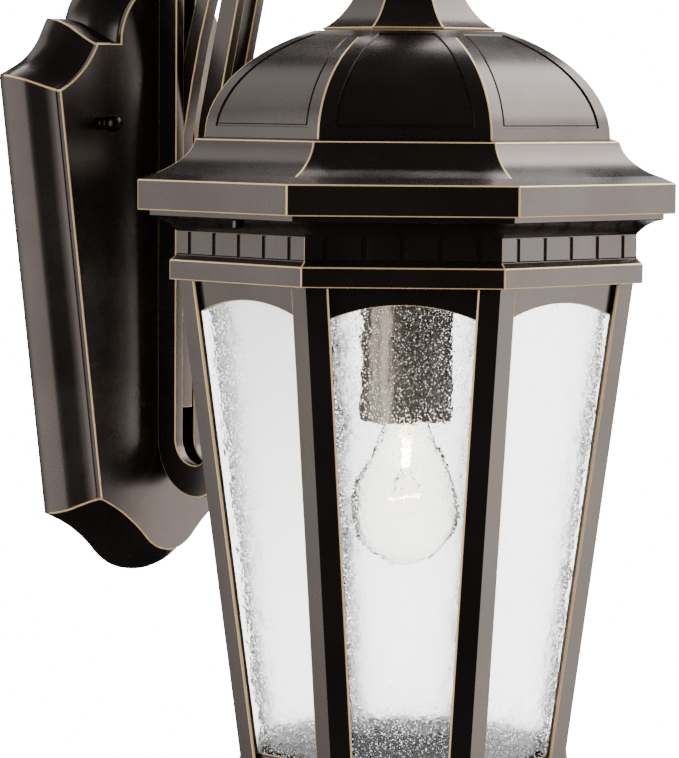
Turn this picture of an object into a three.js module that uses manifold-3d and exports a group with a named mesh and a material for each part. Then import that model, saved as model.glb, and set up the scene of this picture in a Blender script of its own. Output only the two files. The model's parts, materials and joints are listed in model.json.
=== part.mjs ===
// Outdoor wall lantern: an octagonal hood and glazed cage hung from a hook arm on a cast wall plate.
// Millimetres, +Z up. The wall is the plane Y = 0, the lantern stands out towards -Y, and X runs along
// the wall. Z = 0 is the height of the outlet box, so the origin is the middle of the mounting bar's back.

import * as THREE from "three";
import { mergeVertices } from "three/addons/utils/BufferGeometryUtils.js";
import Module from "manifold-3d";

const wasm = await Module();
wasm.setup();

// ---------------------------------------------------------------- driving dimensions

const SEAT = 0.3; // gap between two pieces that bear on each other
const SIDES = 8; // the lantern's plan
const HALF_SIDE_ANGLE = Math.PI / SIDES;

// wall plate
const PLATE_DEPTH = 37.5; // wall to the plate's front face
const PLATE_WALL = 3;
const PLATE_SHOULDER = new THREE.Vector2(84.8, 19.2);
const PLATE_STEP = new THREE.Vector2(56.7, 46.7);
const PLATE_NECK = 39; // half width of the neck, and radius of its arched head
const PLATE_FOOT = new THREE.Vector2(53.3, -223.4);
const PLATE_LOBE = new THREE.Vector2(20.5, -246.5);
const PLATE_TIP = -257.5;
const PLATE_EDGE = [
  // depth behind the front face, flare beyond the front outline
  [0, 0],
  [3.3, 0],
  [8.4, 2.7],
  [11.6, 4.8],
  [19.2, 10.2],
  [28.4, 14],
  [PLATE_DEPTH, 14.8],
];

// fixing to the outlet box
const BAR_LENGTH = 140;
const BAR_HEIGHT = 24;
const BAR_THICKNESS = 2.5;
const BOX_SLOT_REACH = 38; // box screw slot, middle to middle of the bar
const BOX_SLOT_LENGTH = 16;
const BOX_SLOT_RADIUS = 2.4;
const STUD_REACH = 55.5;
const STUD_RADIUS = 2;
const STUD_CLEARANCE = 0.2;
const CAP_NUT_RADIUS = 4.7;
const CAP_NUT_LENGTH = 18;
const CAP_NUT_WALL = 3.5; // closed end beyond the stud
const GROUND_SCREW_REACH = 16;
const WIRE_HOLE_RADIUS = 4;
const WIRE_HOLE_Z = 20;

// hook arm: two loops with the hook strap between them
const ARM_WIDTH = 21;
const STRAP_THICKNESS = 8;
const ARM_LEG = 16.5; // how far the loop's back leg stands off the plate
const LOOP_FRONT_LEG = 15.5;
const LOOP_BASE_Z = -187; // where the loop's round bottom starts
const LOOP_TIP_Z = -222;
const LOOP_DEPTH = 61;
const LOOP_WAIST = 35; // plate to the front leg's inner edge at its nearest
const LOOP_SLOT_TIP_Z = -203;
const ARM_BOTTOM_Z = -170;
const CROOK_TOP_Z = 224;
const JOINING_SCREW_RADIUS = 2.4;
const JOINING_SCREW_HEAD = 4.6;
const JOINING_SCREW_HEAD_DEPTH = 3;
const JOINING_SCREW_BLIND = 2.4; // metal left between the screw's end and the left loop's face
const PLATE_SCREW_RADIUS = 2.2;
const PLATE_SCREW_HEAD = 4;
const PLATE_SCREW_HEAD_HEIGHT = 3;
const PLATE_SCREW_HEIGHTS = [-120, -60];
const SCREW_CLEARANCE = 0.3;

// hanging line
const LANTERN_REACH = 204.5; // plate's front face to the lantern's axis
const EYE_RADIUS = 12;
const EYE_BOTTOM_Z = 114;
const EYE_HEIGHT = 22;
const STEM_RADIUS = 4.85;
const STEM_BORE = 3.2;
const STEM_CLEARANCE = 0.35;
const STEM_ENGAGEMENT = 16;
const NUT_HEIGHT = 5.4;
const NUT_RADIUS = 9.5;

// hood
const HOOD_WALL = 2.6;
const CROWN_Z = 53;
const DOME_APOTHEM = 110.8;
const DOME_BASE_Z = -5.6;
const DOME_RISE = 66.5;
const LEDGE_APOTHEM = 115.7;
const COVE_TOP_Z = -6.7;
const COVE_END = new THREE.Vector2(139, -26.4);
const COVE_BEND = new THREE.Vector2(118, -18.3);
const EAVE_APOTHEM = 146;
const EAVE_TOP_Z = -28.8;
const EAVE_BOTTOM_Z = -45.3;

// bell on top of the hood
const BELL_WALL = 2.4;
const BELL_FOOT = 47.5;
const BELL_TOP_APOTHEM = 21;
const BELL_TOP_Z = 107.6;

// cage crown: flange, cove, dentil frieze and band
const FLANGE_APOTHEM = 139.8;
const FLANGE_TOP_Z = -44.5;
const FLANGE_BOTTOM_Z = -48.5;
const FRIEZE_APOTHEM = 125.5;
const FRIEZE_TOP_Z = -56.8;
const FRIEZE_BOTTOM_Z = -70;
const FRIEZE_WALL = 4;
const DENTIL_PITCH = 20.2;
const DENTIL_GAP = 4.2;
const DENTIL_DEPTH = 2.4;
const DENTIL_GAPS_PER_FACE = 5;
const BAND_APOTHEM = 129;
const BAND_TOP_Z = -72.7;
const BAND_BOTTOM_Z = -83.4;

// tapered cage
const CAGE_TOP_APOTHEM = 123.9;
const CAGE_TAPER = 0.127; // inwards per unit of drop
const CAGE_BOTTOM_Z = -356.3;
const POST_WIDTH = 12;
const POST_THICKNESS = 3.2;
const HEADER_THICKNESS = 2;
const HEADER_DROP = 17; // band to the springing of the arch
const ARCH_CROWN_DROP = 9.5;
const ARCH_HALF_SPAN = 38.4;
const RAIL_TOP_Z = -346;
const PANE_THICKNESS = 3;
const RETAINER_THICKNESS = 2;
const RETAINER_HEIGHT = 12;

// base of the cage
const PAN_APOTHEM = 93;
const PAN_BAND_HEIGHT = 11;
const PAN_BOTTOM_APOTHEM = 30;
const PAN_BOTTOM_Z = -414;
const PAN_WALL = 3;
const PAN_LEDGE = 15; // width of the ledge that carries posts and panes
const FINIAL_RADIUS = 13;
const FINIAL_DROP = 36;
const FINIAL_STUD_RADIUS = 3;

// thumb screws that hold the cage up to the hood
const THUMB_APOTHEM = 135.5;
const THUMB_OFFSET = -10; // along the face, towards the front
const THUMB_SHANK = 1.9;
const THUMB_HEAD = 3.1;
const THUMB_HEAD_HEIGHT = 5;
const BOSS_RADIUS = 5;
const BOSS_TOP_Z = -27.5;
const THUMB_ENGAGEMENT = 10;
const NOTCH_WIDTH = 14;
const NOTCH_HEIGHT = 2;

// lamp holder and bulb
const CUP_RADIUS = 25.5;
const CUP_WALL = 1.2;
const CUP_TOP_Z = -70;
const CUP_BOTTOM_Z = -164;
const PORCELAIN_RADIUS = 18.5;
const PORCELAIN_TOP_Z = -118;
const PORCELAIN_BOTTOM_Z = -163;
const PORCELAIN_FLOOR = 8;
const SHELL_WALL = 0.7;
const SHELL_LENGTH = 25;
const BULB_BASE_RADIUS = 12.8;
const BULB_BASE_LENGTH = 24;
const BULB_BASE_WALL = 0.8;
const BULB_BASE_SHOULDER = 6; // tip contact to the start of the threaded sleeve
const BULB_RADIUS = 30;
const BULB_TIP_Z = -245;
const BULB_LENGTH = 107;
const BULB_GLASS = 0.8;
const BULB_CLEARANCE = 0.4; // thread play between the bulb's base and the screw shell

// facets
const ROUND = 24;
const SMALL_ROUND = 16;
const CURVE_STEPS = 8;
const CUT_MARGIN = 1; // how far a cutting tool passes the faces it opens

// ---------------------------------------------------------------- derived places

const LANTERN_Y = -(PLATE_DEPTH + LANTERN_REACH);
const STEM_TOP_Z = EYE_BOTTOM_Z + STEM_ENGAGEMENT;
const STEM_HOLE = STEM_RADIUS + STEM_CLEARANCE;
const STEM_SOCKET = 8; // depth of the stem's seat in the porcelain
const STEM_BOTTOM_Z = PORCELAIN_TOP_Z - STEM_SOCKET + SEAT;
const BULB_TOP_Z = BULB_TIP_Z + BULB_LENGTH;
const BULB_BASE_BOTTOM_Z = BULB_TOP_Z - BULB_BASE_LENGTH;
const HEADER_RECESS = POST_THICKNESS + SEAT;
const PANE_RECESS = HEADER_RECESS + HEADER_THICKNESS + SEAT;
const RETAINER_RECESS = PANE_RECESS + PANE_THICKNESS + SEAT;
const CAGE_TOP_Z = BAND_BOTTOM_Z - SEAT;
const CAGE_TILT = Math.atan(CAGE_TAPER);
const PAN_TOP_Z = CAGE_BOTTOM_Z - SEAT;

// Apothem of the cage's outer faces at height z, or of a layer `recess` behind them.
function cageApothem(z, recess = 0) {
  return CAGE_TOP_APOTHEM - (BAND_BOTTOM_Z - z) * CAGE_TAPER - recess / Math.cos(CAGE_TILT);
}

// ---------------------------------------------------------------- materials

const castMetal = new THREE.MeshStandardMaterial({ color: 0x2b221d, roughness: 0.42, metalness: 0.75 });
const zincSteel = new THREE.MeshStandardMaterial({ color: 0x9a9b98, roughness: 0.4, metalness: 1 });
const darkScrew = new THREE.MeshStandardMaterial({ color: 0x1d1816, roughness: 0.38, metalness: 0.85 });
const cupMetal = new THREE.MeshStandardMaterial({ color: 0x5b4a3d, roughness: 0.35, metalness: 0.9 });
const brass = new THREE.MeshStandardMaterial({ color: 0xb59a55, roughness: 0.3, metalness: 1 });
const porcelain = new THREE.MeshStandardMaterial({ color: 0xe9e6dd, roughness: 0.3, metalness: 0 });
const seededGlass = new THREE.MeshStandardMaterial({
  color: 0xe8ece6,
  roughness: 0.08,
  metalness: 0,
  transparent: true,
  opacity: 0.35,
});
const bulbGlass = new THREE.MeshStandardMaterial({
  color: 0xfff6e2,
  roughness: 0.03,
  metalness: 0,
  transparent: true,
  opacity: 0.3,
});
const tungsten = new THREE.MeshStandardMaterial({ color: 0xffb050, roughness: 0.5, metalness: 0.6 });

// ---------------------------------------------------------------- solids

const MERGE_DISTANCE = 1e-4;

function signedVolume(positions, triangles) {
  const [a, b, c] = [new THREE.Vector3(), new THREE.Vector3(), new THREE.Vector3()];
  let volume = 0;
  for (let i = 0; i < triangles.length; i += 3) {
    a.fromBufferAttribute(positions, triangles[i]);
    b.fromBufferAttribute(positions, triangles[i + 1]);
    c.fromBufferAttribute(positions, triangles[i + 2]);
    volume += a.dot(b.cross(c)) / 6;
  }
  return volume;
}

// A closed geometry as a solid that can be joined and cut, with its faces turned outwards.
function solidFrom(geometry) {
  const bare = new THREE.BufferGeometry();
  bare.setAttribute("position", geometry.getAttribute("position"));
  bare.setIndex(geometry.index);
  const merged = mergeVertices(bare, MERGE_DISTANCE);
  const corners = merged.index.array;
  const triangles = [];
  for (let i = 0; i < corners.length; i += 3) {
    const [a, b, c] = [corners[i], corners[i + 1], corners[i + 2]];
    if (a !== b && b !== c && c !== a) triangles.push(a, b, c);
  }
  if (signedVolume(merged.getAttribute("position"), triangles) < 0) triangles.reverse();
  return new wasm.Manifold(
    new wasm.Mesh({
      numProp: 3,
      vertProperties: merged.getAttribute("position").array,
      triVerts: new Uint32Array(triangles),
    }),
  );
}

function geometryFrom(solid) {
  const mesh = solid.getMesh();
  const geometry = new THREE.BufferGeometry();
  geometry.setAttribute("position", new THREE.BufferAttribute(mesh.vertProperties.slice(), 3));
  geometry.setIndex(new THREE.BufferAttribute(mesh.triVerts.slice(), 1));
  const faceted = geometry.toNonIndexed();
  faceted.computeVertexNormals();
  return faceted;
}

function join(body, ...others) {
  return geometryFrom(others.reduce((whole, other) => whole.add(solidFrom(other)), solidFrom(body)));
}

function cut(body, ...tools) {
  return geometryFrom(tools.reduce((left, tool) => left.subtract(solidFrom(tool)), solidFrom(body)));
}

// A profile of [radius, z] pairs turned about Z. It starts and ends on the axis or closes on itself.
function turned(profile, segments = ROUND) {
  const points = profile.map(([radius, z]) => new THREE.Vector2(radius, z));
  return geometryFrom(solidFrom(new THREE.LatheGeometry(points, segments).rotateX(Math.PI / 2)));
}

// The same for an octagonal piece, with apothems for radii and a flat side towards +X.
function octagonal(profile) {
  const points = profile.map(([apothem, z]) => new THREE.Vector2(apothem / Math.cos(HALF_SIDE_ANGLE), z));
  const lathe = new THREE.LatheGeometry(points, SIDES, HALF_SIDE_ANGLE);
  return geometryFrom(solidFrom(lathe.rotateX(Math.PI / 2)));
}

const closed = (profile) => [...profile, profile[0]];

// A cylinder along Z between two heights, at (x, y).
function rod(radius, bottom, top, x = 0, y = 0, segments = SMALL_ROUND) {
  const cylinder = new THREE.CylinderGeometry(radius, radius, top - bottom, segments);
  return cylinder.rotateX(Math.PI / 2).translate(x, y, (top + bottom) / 2);
}

// A cylinder along X or Y, from `start` to `end` on that axis, through the point given by the other two.
function rodAlongX(radius, start, end, y, z, segments = SMALL_ROUND) {
  const cylinder = new THREE.CylinderGeometry(radius, radius, end - start, segments);
  return cylinder.rotateZ(Math.PI / 2).translate((start + end) / 2, y, z);
}

function rodAlongY(radius, start, end, x, z, segments = SMALL_ROUND) {
  const cylinder = new THREE.CylinderGeometry(radius, radius, end - start, segments);
  return cylinder.translate(x, (start + end) / 2, z);
}

function box(x0, x1, y0, y1, z0, z1) {
  const block = new THREE.BoxGeometry(x1 - x0, y1 - y0, z1 - z0);
  return block.translate((x0 + x1) / 2, (y0 + y1) / 2, (z0 + z1) / 2);
}

// An outline moved outwards by `distance`, with mitred corners. `isClosed` outlines run anticlockwise.
function offsetOutline(points, distance, isClosed = true) {
  const count = points.length;
  const edgeNormal = (from, to) => {
    const edge = to.clone().sub(from).normalize();
    return new THREE.Vector2(edge.y, -edge.x);
  };
  return points.map((point, i) => {
    const isFirst = !isClosed && i === 0;
    const isLast = !isClosed && i === count - 1;
    const before = points[(i + count - 1) % count];
    const after = points[(i + 1) % count];
    const normalIn = isFirst ? edgeNormal(point, after) : edgeNormal(before, point);
    const normalOut = isLast ? normalIn : edgeNormal(point, after);
    const mitre = normalIn.clone().add(normalOut).divideScalar(1 + normalIn.dot(normalOut));
    return point.clone().addScaledVector(mitre, distance);
  });
}

// A solid through outlines of equal length in the X-Z plane, each at its own Y, with flat ends.
function loft(layers) {
  const count = layers[0].outline.length;
  const positions = layers.flatMap(({ outline, y }) => outline.flatMap((point) => [point.x, y, point.y]));
  const index = [];
  for (let layer = 0; layer + 1 < layers.length; layer++) {
    for (let i = 0; i < count; i++) {
      const here = layer * count + i;
      const next = layer * count + ((i + 1) % count);
      index.push(here, next, next + count, here, next + count, here + count);
    }
  }
  const last = (layers.length - 1) * count;
  const cap = (layer) => THREE.ShapeUtils.triangulateShape(layer.outline, []);
  for (const [a, b, c] of cap(layers[0])) index.push(a, c, b);
  for (const [a, b, c] of cap(layers[layers.length - 1])) index.push(last + a, last + b, last + c);
  const geometry = new THREE.BufferGeometry();
  geometry.setAttribute("position", new THREE.Float32BufferAttribute(positions, 3));
  geometry.setIndex(index);
  return geometryFrom(solidFrom(geometry));
}

// A flat bar from an outline in (distance from the plate's front face, z), between two values of X.
function sideways(shape, x0, x1) {
  const bar = new THREE.ExtrudeGeometry(shape, {
    depth: x1 - x0,
    bevelEnabled: false,
    curveSegments: CURVE_STEPS,
  });
  const basis = new THREE.Matrix4().makeBasis(
    new THREE.Vector3(0, -1, 0),
    new THREE.Vector3(0, 0, 1),
    new THREE.Vector3(-1, 0, 0),
  );
  return bar.applyMatrix4(basis).translate(x1, -PLATE_DEPTH, 0);
}

function piece(parent, name, geometry, material) {
  const mesh = new THREE.Mesh(geometry, material);
  mesh.name = name;
  parent.add(mesh);
}

// ---------------------------------------------------------------- wall plate

function plateOutline() {
  const half = new THREE.Path();
  half.moveTo(0, PLATE_TIP);
  half.quadraticCurveTo(PLATE_LOBE.x - 9, PLATE_TIP, PLATE_LOBE.x, PLATE_LOBE.y);
  half.quadraticCurveTo(PLATE_FOOT.x - 17.7, PLATE_FOOT.y - 7.7, PLATE_FOOT.x, PLATE_FOOT.y);
  half.lineTo(PLATE_SHOULDER.x, PLATE_SHOULDER.y);
  half.quadraticCurveTo(PLATE_STEP.x + 9.3, PLATE_SHOULDER.y + 8.8, PLATE_STEP.x, PLATE_STEP.y);
  half.lineTo(PLATE_NECK, PLATE_STEP.y);
  half.absarc(0, PLATE_STEP.y, PLATE_NECK, 0, Math.PI / 2, false);
  const right = half.getPoints(CURVE_STEPS);
  const left = right.slice(1, -1).reverse().map((point) => new THREE.Vector2(-point.x, point.y));
  const whole = [...right, ...left];
  return whole.filter((point, i) => point.distanceTo(whole[(i + 1) % whole.length]) > MERGE_DISTANCE);
}

function buildBackplate(parent) {
  const outline = plateOutline();
  const layer = (depth, flare) => ({ outline: offsetOutline(outline, flare), y: depth - PLATE_DEPTH });
  const body = loft(PLATE_EDGE.map(([depth, flare]) => layer(depth, flare)));
  const behindFront = PLATE_EDGE.filter(([depth]) => depth > PLATE_WALL);
  const [rimDepth, rimFlare] = PLATE_EDGE[PLATE_EDGE.length - 1];
  const hollow = loft([
    layer(PLATE_WALL, -PLATE_WALL),
    ...behindFront.slice(0, -1).map(([depth, flare]) => layer(depth, flare - PLATE_WALL)),
    layer(rimDepth + CUT_MARGIN, rimFlare - PLATE_WALL),
  ]);
  const through = [-PLATE_DEPTH - CUT_MARGIN, -PLATE_DEPTH + PLATE_WALL + CUT_MARGIN];
  const studHole = STUD_RADIUS + 3 * STUD_CLEARANCE;
  const screwHole = PLATE_SCREW_RADIUS + SCREW_CLEARANCE;
  const holes = [
    ...[-STUD_REACH, STUD_REACH].map((x) => rodAlongY(studHole, ...through, x, 0)),
    ...PLATE_SCREW_HEIGHTS.map((z) => rodAlongY(screwHole, ...through, 0, z)),
    rodAlongY(WIRE_HOLE_RADIUS, ...through, 0, WIRE_HOLE_Z),
  ];
  piece(parent, "backplate", cut(body, hollow, ...holes), castMetal);
}

function buildWallFixing(parent) {
  const barFront = -BAR_THICKNESS;
  const through = [barFront - CUT_MARGIN, CUT_MARGIN];
  const slot = (x) => {
    const halfStraight = BOX_SLOT_LENGTH / 2 - BOX_SLOT_RADIUS;
    return join(
      box(x - halfStraight, x + halfStraight, ...through, -BOX_SLOT_RADIUS, BOX_SLOT_RADIUS),
      rodAlongY(BOX_SLOT_RADIUS, ...through, x - halfStraight, 0),
      rodAlongY(BOX_SLOT_RADIUS, ...through, x + halfStraight, 0),
    );
  };
  const studHole = (x) => rodAlongY(STUD_RADIUS + STUD_CLEARANCE, ...through, x, 0);
  const groundHole = rodAlongY(STUD_RADIUS + STUD_CLEARANCE, ...through, GROUND_SCREW_REACH, 0);
  const bar = cut(
    box(-BAR_LENGTH / 2, BAR_LENGTH / 2, barFront, 0, -BAR_HEIGHT / 2, BAR_HEIGHT / 2),
    slot(-BOX_SLOT_REACH),
    slot(BOX_SLOT_REACH),
    studHole(-STUD_REACH),
    studHole(STUD_REACH),
    groundHole,
  );
  piece(parent, "mounting_bar", bar, zincSteel);

  const groundHead = barFront - SEAT;
  const groundScrew = join(
    rodAlongY(STUD_RADIUS, groundHead - 1, -SEAT, GROUND_SCREW_REACH, 0),
    rodAlongY(2 * STUD_RADIUS, groundHead - 2.4, groundHead, GROUND_SCREW_REACH, 0, 6),
  );
  piece(parent, "ground_screw", groundScrew, brass);

  const nutBottom = -PLATE_DEPTH - SEAT;
  const nutTop = nutBottom - CAP_NUT_LENGTH;
  const studEnd = nutTop + CAP_NUT_WALL + SEAT;
  // [radius, distance from the plate] of the nut's foot, waist, knurled ring and ball end
  const nutProfile = [
    [0, 0],
    [0.86 * CAP_NUT_RADIUS, 0],
    [0.86 * CAP_NUT_RADIUS, 4],
    [0.72 * CAP_NUT_RADIUS, 5],
    [0.72 * CAP_NUT_RADIUS, 6.5],
    [CAP_NUT_RADIUS, 7.2],
    [CAP_NUT_RADIUS, 14],
    [0.85 * CAP_NUT_RADIUS, 16.4],
    [0.5 * CAP_NUT_RADIUS, 17.6],
    [0, CAP_NUT_LENGTH],
  ];
  for (const [side, x] of [["left", -STUD_REACH], ["right", STUD_REACH]]) {
    piece(parent, "mounting_stud_" + side, rodAlongY(STUD_RADIUS, studEnd, -SEAT, x, 0), zincSteel);
    const nut = turned(nutProfile, SMALL_ROUND).rotateX(Math.PI / 2).translate(x, nutBottom, 0);
    const thread = rodAlongY(STUD_RADIUS + STUD_CLEARANCE, nutTop + CAP_NUT_WALL, 0, x, 0);
    piece(parent, "cap_nut_" + side, cut(nut, thread), darkScrew);
  }
}

// ---------------------------------------------------------------- hook arm

// One loop: a back leg on the plate, a round bottom, a waisted front leg and the crook they run into.
function loopShape() {
  const back = SEAT;
  const frontAtWaist = LOOP_WAIST + LOOP_FRONT_LEG;
  const shape = new THREE.Shape();
  shape.moveTo(back, LOOP_BASE_Z);
  shape.bezierCurveTo(back, LOOP_BASE_Z - 21, 15, LOOP_TIP_Z, 35, LOOP_TIP_Z);
  shape.bezierCurveTo(50, LOOP_TIP_Z, LOOP_DEPTH, LOOP_BASE_Z - 21, LOOP_DEPTH, LOOP_BASE_Z);
  shape.lineTo(frontAtWaist + 1, -24);
  shape.quadraticCurveTo(frontAtWaist, -6, frontAtWaist + 4, 9);
  shape.lineTo(71.5, 72);
  shape.bezierCurveTo(84, 122, 112, 180, 146, 186);
  shape.bezierCurveTo(158, 188, 170, 182, 178, 168);
  shape.lineTo(192, 176);
  shape.bezierCurveTo(180, 206, 152, CROOK_TOP_Z, 112, CROOK_TOP_Z);
  shape.bezierCurveTo(48, CROOK_TOP_Z, back, 182, back, 118);
  shape.closePath();
  const slotFront = LOOP_DEPTH - LOOP_FRONT_LEG;
  const slot = new THREE.Path();
  slot.moveTo(ARM_LEG, LOOP_BASE_Z);
  slot.lineTo(ARM_LEG, 116);
  slot.bezierCurveTo(ARM_LEG, 170, 52, 206, 108, 207);
  slot.bezierCurveTo(92, 184, 70, 130, 56, 72);
  slot.lineTo(LOOP_WAIST + 4, 9);
  slot.quadraticCurveTo(LOOP_WAIST - 0.5, -6, LOOP_WAIST + 1, -24);
  slot.lineTo(slotFront, LOOP_BASE_Z);
  slot.bezierCurveTo(slotFront, -197, 41, LOOP_SLOT_TIP_Z, 34, LOOP_SLOT_TIP_Z);
  slot.bezierCurveTo(24, LOOP_SLOT_TIP_Z, ARM_LEG, -197, ARM_LEG, LOOP_BASE_Z);
  shape.holes.push(slot);
  return shape;
}

// The strap between the loops: up the back leg, forwards through the slot and over to the lantern.
function strapShape() {
  const front = ARM_LEG - 1;
  const shape = new THREE.Shape();
  shape.moveTo(SEAT, ARM_BOTTOM_Z);
  shape.lineTo(front, ARM_BOTTOM_Z);
  shape.lineTo(front, -8);
  shape.lineTo(23.8, 26);
  shape.lineTo(30.4, 50);
  shape.lineTo(38.8, 74);
  shape.bezierCurveTo(53, 114, 78, 176, 122, 202);
  shape.bezierCurveTo(150, 216, 190, 190, LANTERN_REACH - 7.5, EYE_BOTTOM_Z + EYE_HEIGHT - 2);
  shape.lineTo(LANTERN_REACH + 7.5, EYE_BOTTOM_Z + EYE_HEIGHT - 2);
  shape.bezierCurveTo(208, 196, 168, 228, 118, 219);
  shape.bezierCurveTo(62, 205, 42, 124, 27.5, 76);
  shape.lineTo(19, 50);
  shape.lineTo(12.5, 26);
  shape.lineTo(SEAT, -8);
  shape.closePath();
  return shape;
}

// Middle points of the screws that run across the arm, as [distance from the plate, z].
const JOINING_SCREWS = { lower: [ARM_LEG / 2, -150], upper: [ARM_LEG / 2, -28], crook: [118, 212] };

function buildArm(parent) {
  const outer = ARM_WIDTH / 2;
  const inner = STRAP_THICKNESS / 2 + SEAT;
  const screwEnd = -outer + JOINING_SCREW_BLIND;
  const screwHole = JOINING_SCREW_RADIUS + SCREW_CLEARANCE;
  const places = Object.values(JOINING_SCREWS).map(([w, z]) => [-PLATE_DEPTH - w, z]);
  const holes = places.map(([y, z]) => rodAlongX(screwHole, screwEnd - SEAT, outer + CUT_MARGIN, y, z));
  const sinks = places.map(([y, z]) =>
    rodAlongX(JOINING_SCREW_HEAD + SEAT, outer - JOINING_SCREW_HEAD_DEPTH, outer + CUT_MARGIN, y, z),
  );
  piece(parent, "arm_loop_left", cut(sideways(loopShape(), -outer, -inner), ...holes), castMetal);
  piece(parent, "arm_loop_right", cut(sideways(loopShape(), inner, outer), ...holes, ...sinks), castMetal);

  const strapHalf = STRAP_THICKNESS / 2;
  const eye = rod(EYE_RADIUS, EYE_BOTTOM_Z, EYE_BOTTOM_Z + EYE_HEIGHT, 0, LANTERN_Y, ROUND);
  const stemSeatTop = STEM_TOP_Z + SEAT;
  const stemSeat = rod(STEM_HOLE, EYE_BOTTOM_Z - CUT_MARGIN, stemSeatTop, 0, LANTERN_Y);
  const plateScrewTip = -PLATE_DEPTH - ARM_LEG + 3.5;
  const plateScrewHoles = PLATE_SCREW_HEIGHTS.map((z) =>
    rodAlongY(PLATE_SCREW_RADIUS + SCREW_CLEARANCE, plateScrewTip - SEAT, -PLATE_DEPTH + CUT_MARGIN, 0, z),
  );
  const strap = join(sideways(strapShape(), -strapHalf, strapHalf), eye);
  piece(parent, "hook_arm", cut(strap, ...holes, stemSeat, ...plateScrewHoles), castMetal);

  for (const [place, [w, z]] of Object.entries(JOINING_SCREWS)) {
    const y = -PLATE_DEPTH - w;
    const headBottom = outer - JOINING_SCREW_HEAD_DEPTH + SEAT;
    const screw = join(
      rodAlongX(JOINING_SCREW_RADIUS, screwEnd, headBottom + 1, y, z),
      rodAlongX(JOINING_SCREW_HEAD, headBottom, outer - SEAT, y, z),
    );
    piece(parent, "arm_screw_" + place, screw, darkScrew);
  }
  PLATE_SCREW_HEIGHTS.forEach((z, i) => {
    const headTop = -PLATE_DEPTH + PLATE_WALL + SEAT;
    const screw = join(
      rodAlongY(PLATE_SCREW_RADIUS, plateScrewTip, headTop + 1, 0, z),
      rodAlongY(PLATE_SCREW_HEAD, headTop, headTop + PLATE_SCREW_HEAD_HEIGHT, 0, z),
    );
    piece(parent, "plate_screw_" + (i + 1), screw, zincSteel);
  });
}

// ---------------------------------------------------------------- hood

function hoodOutline() {
  const crownHeight = CROWN_Z - DOME_BASE_Z;
  const crownAngle = Math.asin(crownHeight / DOME_RISE);
  const dome = [];
  for (let i = 0; i <= CURVE_STEPS; i++) {
    const angle = (crownAngle * i) / CURVE_STEPS;
    dome.push(new THREE.Vector2(DOME_APOTHEM * Math.cos(angle), DOME_BASE_Z + DOME_RISE * Math.sin(angle)));
  }
  const coveTop = new THREE.Vector2(LEDGE_APOTHEM, COVE_TOP_Z);
  const cove = new THREE.QuadraticBezierCurve(COVE_END, COVE_BEND, coveTop).getPoints(CURVE_STEPS - 2);
  return [
    new THREE.Vector2(EAVE_APOTHEM, EAVE_BOTTOM_Z),
    new THREE.Vector2(EAVE_APOTHEM, EAVE_TOP_Z),
    ...cove,
    ...dome,
    new THREE.Vector2(STEM_HOLE, CROWN_Z),
  ];
}

const thumbPlaces = [
  ["left", -THUMB_APOTHEM],
  ["right", THUMB_APOTHEM],
];

function buildHood(parent) {
  const outside = hoodOutline();
  const inside = offsetOutline(outside, -HOOD_WALL, false).reverse();
  const profile = closed([...outside, ...inside].map((point) => [point.x, point.y]));
  const bosses = thumbPlaces.map(([, x]) => rod(BOSS_RADIUS, FLANGE_TOP_Z + SEAT, BOSS_TOP_Z, x, THUMB_OFFSET));
  const threadTop = FLANGE_TOP_Z + THUMB_ENGAGEMENT + 2 * SEAT;
  const threads = thumbPlaces.map(([, x]) =>
    rod(THUMB_SHANK + SCREW_CLEARANCE, EAVE_BOTTOM_Z, threadTop, x, THUMB_OFFSET),
  );
  const notches = thumbPlaces.map(([, x]) => {
    const middle = Math.sign(x) * EAVE_APOTHEM;
    return box(
      middle - 2 * HOOD_WALL,
      middle + 2 * HOOD_WALL,
      THUMB_OFFSET - NOTCH_WIDTH / 2,
      THUMB_OFFSET + NOTCH_WIDTH / 2,
      EAVE_BOTTOM_Z - CUT_MARGIN,
      EAVE_BOTTOM_Z + NOTCH_HEIGHT,
    );
  });
  const hood = cut(join(octagonal(profile), ...bosses), ...threads, ...notches);
  piece(parent, "hood", hood, castMetal);

  const foot = CROWN_Z + SEAT;
  const flare = new THREE.CubicBezierCurve(
    new THREE.Vector2(BELL_FOOT - 1, foot + 1.6),
    new THREE.Vector2(34, foot + 8),
    new THREE.Vector2(26, foot + 24),
    new THREE.Vector2(BELL_TOP_APOTHEM, BELL_TOP_Z - 9),
  ).getPoints(CURVE_STEPS);
  const bellOutside = [
    new THREE.Vector2(BELL_FOOT, foot),
    new THREE.Vector2(BELL_FOOT, foot + 1.6),
    ...flare,
    new THREE.Vector2(BELL_TOP_APOTHEM + 3, BELL_TOP_Z - 7),
    new THREE.Vector2(BELL_TOP_APOTHEM + 3, BELL_TOP_Z - 3),
    new THREE.Vector2(BELL_TOP_APOTHEM - 4, BELL_TOP_Z),
  ];
  const bellInside = flare.map((point) => [point.x - BELL_WALL, point.y]).reverse();
  const bell = octagonal(
    closed([
      ...bellOutside.map((point) => [point.x, point.y]),
      [STEM_HOLE, BELL_TOP_Z],
      [STEM_HOLE, BELL_TOP_Z - 6],
      [BELL_TOP_APOTHEM - BELL_WALL, BELL_TOP_Z - 8],
      ...bellInside,
      [BELL_FOOT - BELL_WALL, foot],
    ]),
  );
  piece(parent, "bell_cap", bell, castMetal);
}

function hexNut(bottom, top) {
  return cut(
    rod(NUT_RADIUS, bottom, top, 0, 0, 6),
    rod(STEM_HOLE, bottom - CUT_MARGIN, top + CUT_MARGIN),
  );
}

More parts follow.
